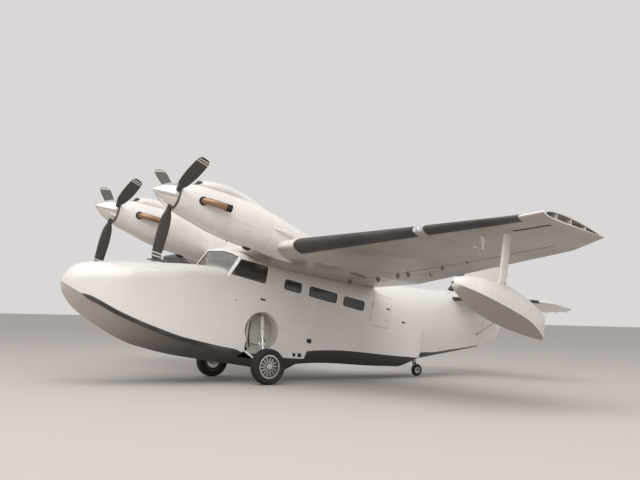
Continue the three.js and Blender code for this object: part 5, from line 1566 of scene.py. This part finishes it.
elevator_wicks = [
    tube([(x - 20, -y, TAIL_Z), (x + 70, -y, TAIL_Z - 5), (x + 110, -y, TAIL_Z - 18)], 3.2, sides=8)
    for y, x in ((1900, 7062), (2250, 7022), (2560, 6985))
]
pair("elevator_wicks_{}", joined(*elevator_wicks), black_trim, "tyre_rubber", "elevator_body")
tail_strut_grey = surface("tail_strut_grey", (0.52, 0.50, 0.48), roughness=0.35, soiling=0.3)
strut_rings = []
low, high = Vector((6600, -60, 2330)), Vector((6330, -1700, TAIL_Z - 20))
for share in (0, 0.5, 1):
    middle = low.lerp(high, share)
    strut_rings.append([middle + Vector((17 * math.cos(a), 0, 16 * math.sin(a))) for a in round_turn(24)])
plates = [bar(low.lerp(high, 0.06), low.lerp(high, 0.1), 24, sides=24),
          bar(low.lerp(high, 0.93), low.lerp(high, 0.97), 24, sides=24)]
pair("tailplane_strut_tube_{}", joined(lofted(strut_rings), *plates), tail_strut_grey, "gear_steel",
     nodes=("tailplane_strut_{}",), crease=40)


# MAIN GEAR
# Each leg is a welded steel truss with a white oleo down to a knuckle and stub axle, wired with
# a brake hose. The wheel is a ribbed aluminium rim with a grooved tyre.
AXLE_X, AXLE_Z = -71.2, 356.5
KNUCKLE = Vector((AXLE_X, -1068, AXLE_Z + 40))
gear_white = surface("gear_white", (0.72, 0.70, 0.67), (0.25, 0.21, 0.18), roughness=0.4, soiling=0.5,
                     streaks=0.3)
chrome = surface("chrome", (0.80, 0.79, 0.77), roughness=0.16, soiling=0.15, metallic=1.0)
leg_top = Vector((AXLE_X + 20, -560, 1430))
elbow = Vector((AXLE_X + 6, -900, 720))
leg_parts = [
    bar((AXLE_X, -1198, AXLE_Z), (AXLE_X, -1060, AXLE_Z), 58, sides=36),
    bar(KNUCKLE, (AXLE_X + 8, -880, 760), 33, sides=28),
    bar(elbow.lerp(leg_top, 0.28), leg_top, 45, sides=36),
    tube([KNUCKLE, (-230, -900, 480), (-420, -640, 640)], 23, bends=10),
    tube([(AXLE_X, -1068, AXLE_Z - 10), (60, -900, 430), (120, -560, 600)], 22, bends=10),
    bar((-440, -640, 640), (-400, -404, 640), 39, sides=32),
    bar(leg_top, (AXLE_X + 20, -404, 1432), 35, sides=28),
    bar((AXLE_X + 8, -880, 760), (AXLE_X + 8, -860, 820), 52, sides=32),
]
pair("gear_leg_frame_{}", joined(*leg_parts), gear_white, "gear_steel", nodes=("main_gear_leg_{}",),
     crease=45)
slide = joined(
    bar(elbow, elbow.lerp(leg_top, 0.30), 34, sides=36),
    bar((AXLE_X, -1300, AXLE_Z), (AXLE_X, -1190, AXLE_Z), 33, sides=36),
)
pair("gear_slide_{}", slide, chrome, "polished_aluminium", crease=45)
gear_bands = [
    bar(elbow.lerp(leg_top, t), elbow.lerp(leg_top, t + 0.02), 52, sides=36) for t in (0.29, 0.55, 0.93)
]
scissor = tube([
    elbow + Vector((-50, 0, -10)),
    elbow + Vector((-95, 40, 90)),
    elbow.lerp(leg_top, 0.3) + Vector((-48, 0, 0)),
], 12, bends=8)
pair("gear_bands_{}", joined(*gear_bands, scissor), chrome, "gear_steel", crease=45)
brake_line = tube([
    elbow.lerp(leg_top, 0.9) + Vector((52, 0, 0)),
    elbow.lerp(leg_top, 0.5) + Vector((70, 30, 0)),
    elbow.lerp(leg_top, 0.1) + Vector((64, 10, -30)),
    KNUCKLE + Vector((52, 10, 60)),
    (AXLE_X + 62, -1090, AXLE_Z + 30),
], 7)
pair("brake_line_{}", brake_line, hose_rubber, "tyre_rubber")
HUB_MID = Vector((AXLE_X, -1238, AXLE_Z))
OUTBOARD = Vector((0, -1, 0))
rim_white = surface("rim_white", (0.72, 0.70, 0.67), (0.3, 0.27, 0.24), roughness=0.3, soiling=0.3,
                    metallic=0.3)
rim = turned([(34.5, -70), (75, -70), (75, -40), (95, -32), (208, -25), (208, -84), (239, -84), (239, 72),
              (222, 78), (214, 72), (210, 40), (203, 26), (96, 34), (78, 46), (75, 64), (60, 70), (34.5, 70)],
             HUB_MID, OUTBOARD, sides=96)
wheel_ribs = []
for a in round_turn(14):
    spoke = Quaternion(OUTBOARD, a)
    start, end = spoke @ Vector((0, 0, 78)), spoke @ Vector((0, 0, 205))
    aside = spoke @ Vector((7, 0, 0))
    rings = []
    for point, high in ((start, 62), (start.lerp(end, 0.5), 46), (end, 40)):
        corners = ((-1, 22), (-1, high), (1, high), (1, 22))
        rings.append([HUB_MID + point + aside * side + OUTBOARD * reach for side, reach in corners])
    wheel_ribs.append(lofted(rings))
# Painted shade: the rim's web between the ribs is painted dark for the shade there; the ribs keep the rim's
# light colour.
rim_web_shade = surface("rim_web_shade", (0.115, 0.10, 0.092), (0.22, 0.19, 0.17), roughness=0.45, soiling=0.4,
                   metallic=0.4)
pair("wheel_rim_{}", rim, rim_web_shade, "polished_aluminium", "main_wheel_{}_body", nodes=("main_rim_{}",),
     crease=35)
pair("wheel_ribs_{}", joined(*wheel_ribs), rim_white, "polished_aluminium", "main_wheel_{}_body", crease=35)
rim_ring = turned([(213, 73), (239, 73), (239, 79), (213, 79)], HUB_MID, OUTBOARD, sides=96)
cap = turned([(36, 68), (62, 68), (60, 80), (36, 84)], HUB_MID, OUTBOARD, sides=48)
wheel_bolts = []
for k in range(10):
    spoke = Quaternion(OUTBOARD, 2 * math.pi * (k + 0.5) / 10)
    middle = HUB_MID + spoke @ Vector((0, 0, 55))
    wheel_bolts.append(bar(middle + OUTBOARD * 66, middle + OUTBOARD * 74, 6, sides=12))
pair("wheel_ring_{}", joined(rim_ring, cap, *wheel_bolts), chrome, "polished_aluminium", "main_wheel_{}_body",
     crease=35)
tyre_rubber = surface("tyre_rubber_black", (0.016, 0.015, 0.014), (0.06, 0.05, 0.044), roughness=0.72,
                      soiling=0.3, grain=220.0, relief=0.35)


def tyre_profile(radius, rim_radius, width, grooves, groove=7, deep=9):
    """Half-round tyre section with grooves round the crown, as (radius, reach) rows."""
    half, wall = width / 2, radius - rim_radius
    crown = []
    for k in range(33):
        a = math.pi * k / 32 - math.pi / 2
        reach = half * math.copysign(abs(math.sin(a)) ** 0.72, math.sin(a))
        out = rim_radius + wall * 0.42 + wall * 0.58 * max(math.cos(a), 0) ** 0.55
        crown.append((out, reach))
    rows = [(rim_radius, -half * 0.80)] + crown + [(rim_radius, half * 0.80)]
    cut = []
    for (r1, s1), (r2, s2) in zip(rows, rows[1:]):
        cut.append((r1, s1))
        for place in grooves:
            if s1 < place <= s2:
                r = r1 + (r2 - r1) * (place - s1) / (s2 - s1)
                near, far = place - groove / 2, place + groove / 2
                cut += [(r, near), (r - deep, near), (r - deep, far), (r, far)]
    return cut + [rows[-1]]


tyre = turned(tyre_profile(363.5, 240.3, 225, (-62, -22, 22, 62)), HUB_MID, OUTBOARD, sides=96)
pair("tyre_{}", tyre, tyre_rubber, "tyre_rubber", "main_wheel_{}_body", nodes=("main_tyre_{}",), crease=35)
disc = turned([(80, -66), (165, -66), (165, -54), (80, -54)], HUB_MID, OUTBOARD, sides=64)
pair("brake_disc_{}", disc, chrome, "gear_steel", "main_wheel_{}_body", crease=35)


# TAIL WHEEL
# A castoring steel fork, on a post that is bolted up into the hull and stands square to the
# ground, carries a small wheel with a pressed aluminium rim.


def swivel_at(height):
    """A place on the fork's swivel line at a height above the ground, in level coordinates."""
    x, sine, cosine = 4940, math.sin(PARK_ANGLE), math.cos(PARK_ANGLE)
    return Vector((x * cosine - height * sine, 0, x * sine + height * cosine))


def swivel_bar(low, high, radius, sides=36):
    return bar(swivel_at(low), swivel_at(high), radius, sides=sides)


post = joined(swivel_bar(331, 560, 41), swivel_bar(306, 334, 14, 24), swivel_bar(352, 366, 54),
              swivel_bar(420, 432, 52))
fitted("tail_post", post, gear_white, "gear_steel", nodes=("tail_wheel_post",), crease=40)
TAIL_AXLE = Vector((4894.3, 0, 1125.8))
crossing = swivel_at(313)
fork_parts = [swivel_bar(295, 329, 45)]
for side in (-1, 1):
    arm = Vector((0, side * 62, 0))
    fork_parts += [
        bar(crossing, crossing + Vector((0, side * 72, 0)), 15, sides=20),
        bar(crossing + arm, TAIL_AXLE + arm, 11, 14, sides=20),
        bar(TAIL_AXLE + Vector((0, side * 52, 0)), TAIL_AXLE + Vector((0, side * 74, 0)), 22, sides=28),
    ]
fork_parts.append(bar(TAIL_AXLE - Vector((0, 70, 0)), TAIL_AXLE + Vector((0, 70, 0)), 13.3, sides=24))
fitted("tail_fork", joined(*fork_parts), seat_steel, "gear_steel", "tail_fork_body",
       nodes=("tail_wheel_fork",), crease=40)
tail_rim_shape = turned([(14.2, -36), (30, -36), (34, -20), (66, -16), (70, -34), (79.6, -35), (79.6, 35),
                         (70, 34), (66, 16), (34, 20), (30, 36), (14.2, 36)], TAIL_AXLE, OUTBOARD, sides=64)
fitted("tail_rim_disc", tail_rim_shape, rim_white, "polished_aluminium", "tail_wheel_body",
       nodes=("tail_rim",), crease=35)
tail_tyre = turned(tyre_profile(145, 80.2, 92, (-22, 0, 22), 4, 5), TAIL_AXLE, OUTBOARD, sides=72)
fitted("tail_tyre_tread", tail_tyre, tyre_rubber, "tyre_rubber", "tail_wheel_body", nodes=("tail_tyre",),
       crease=35)
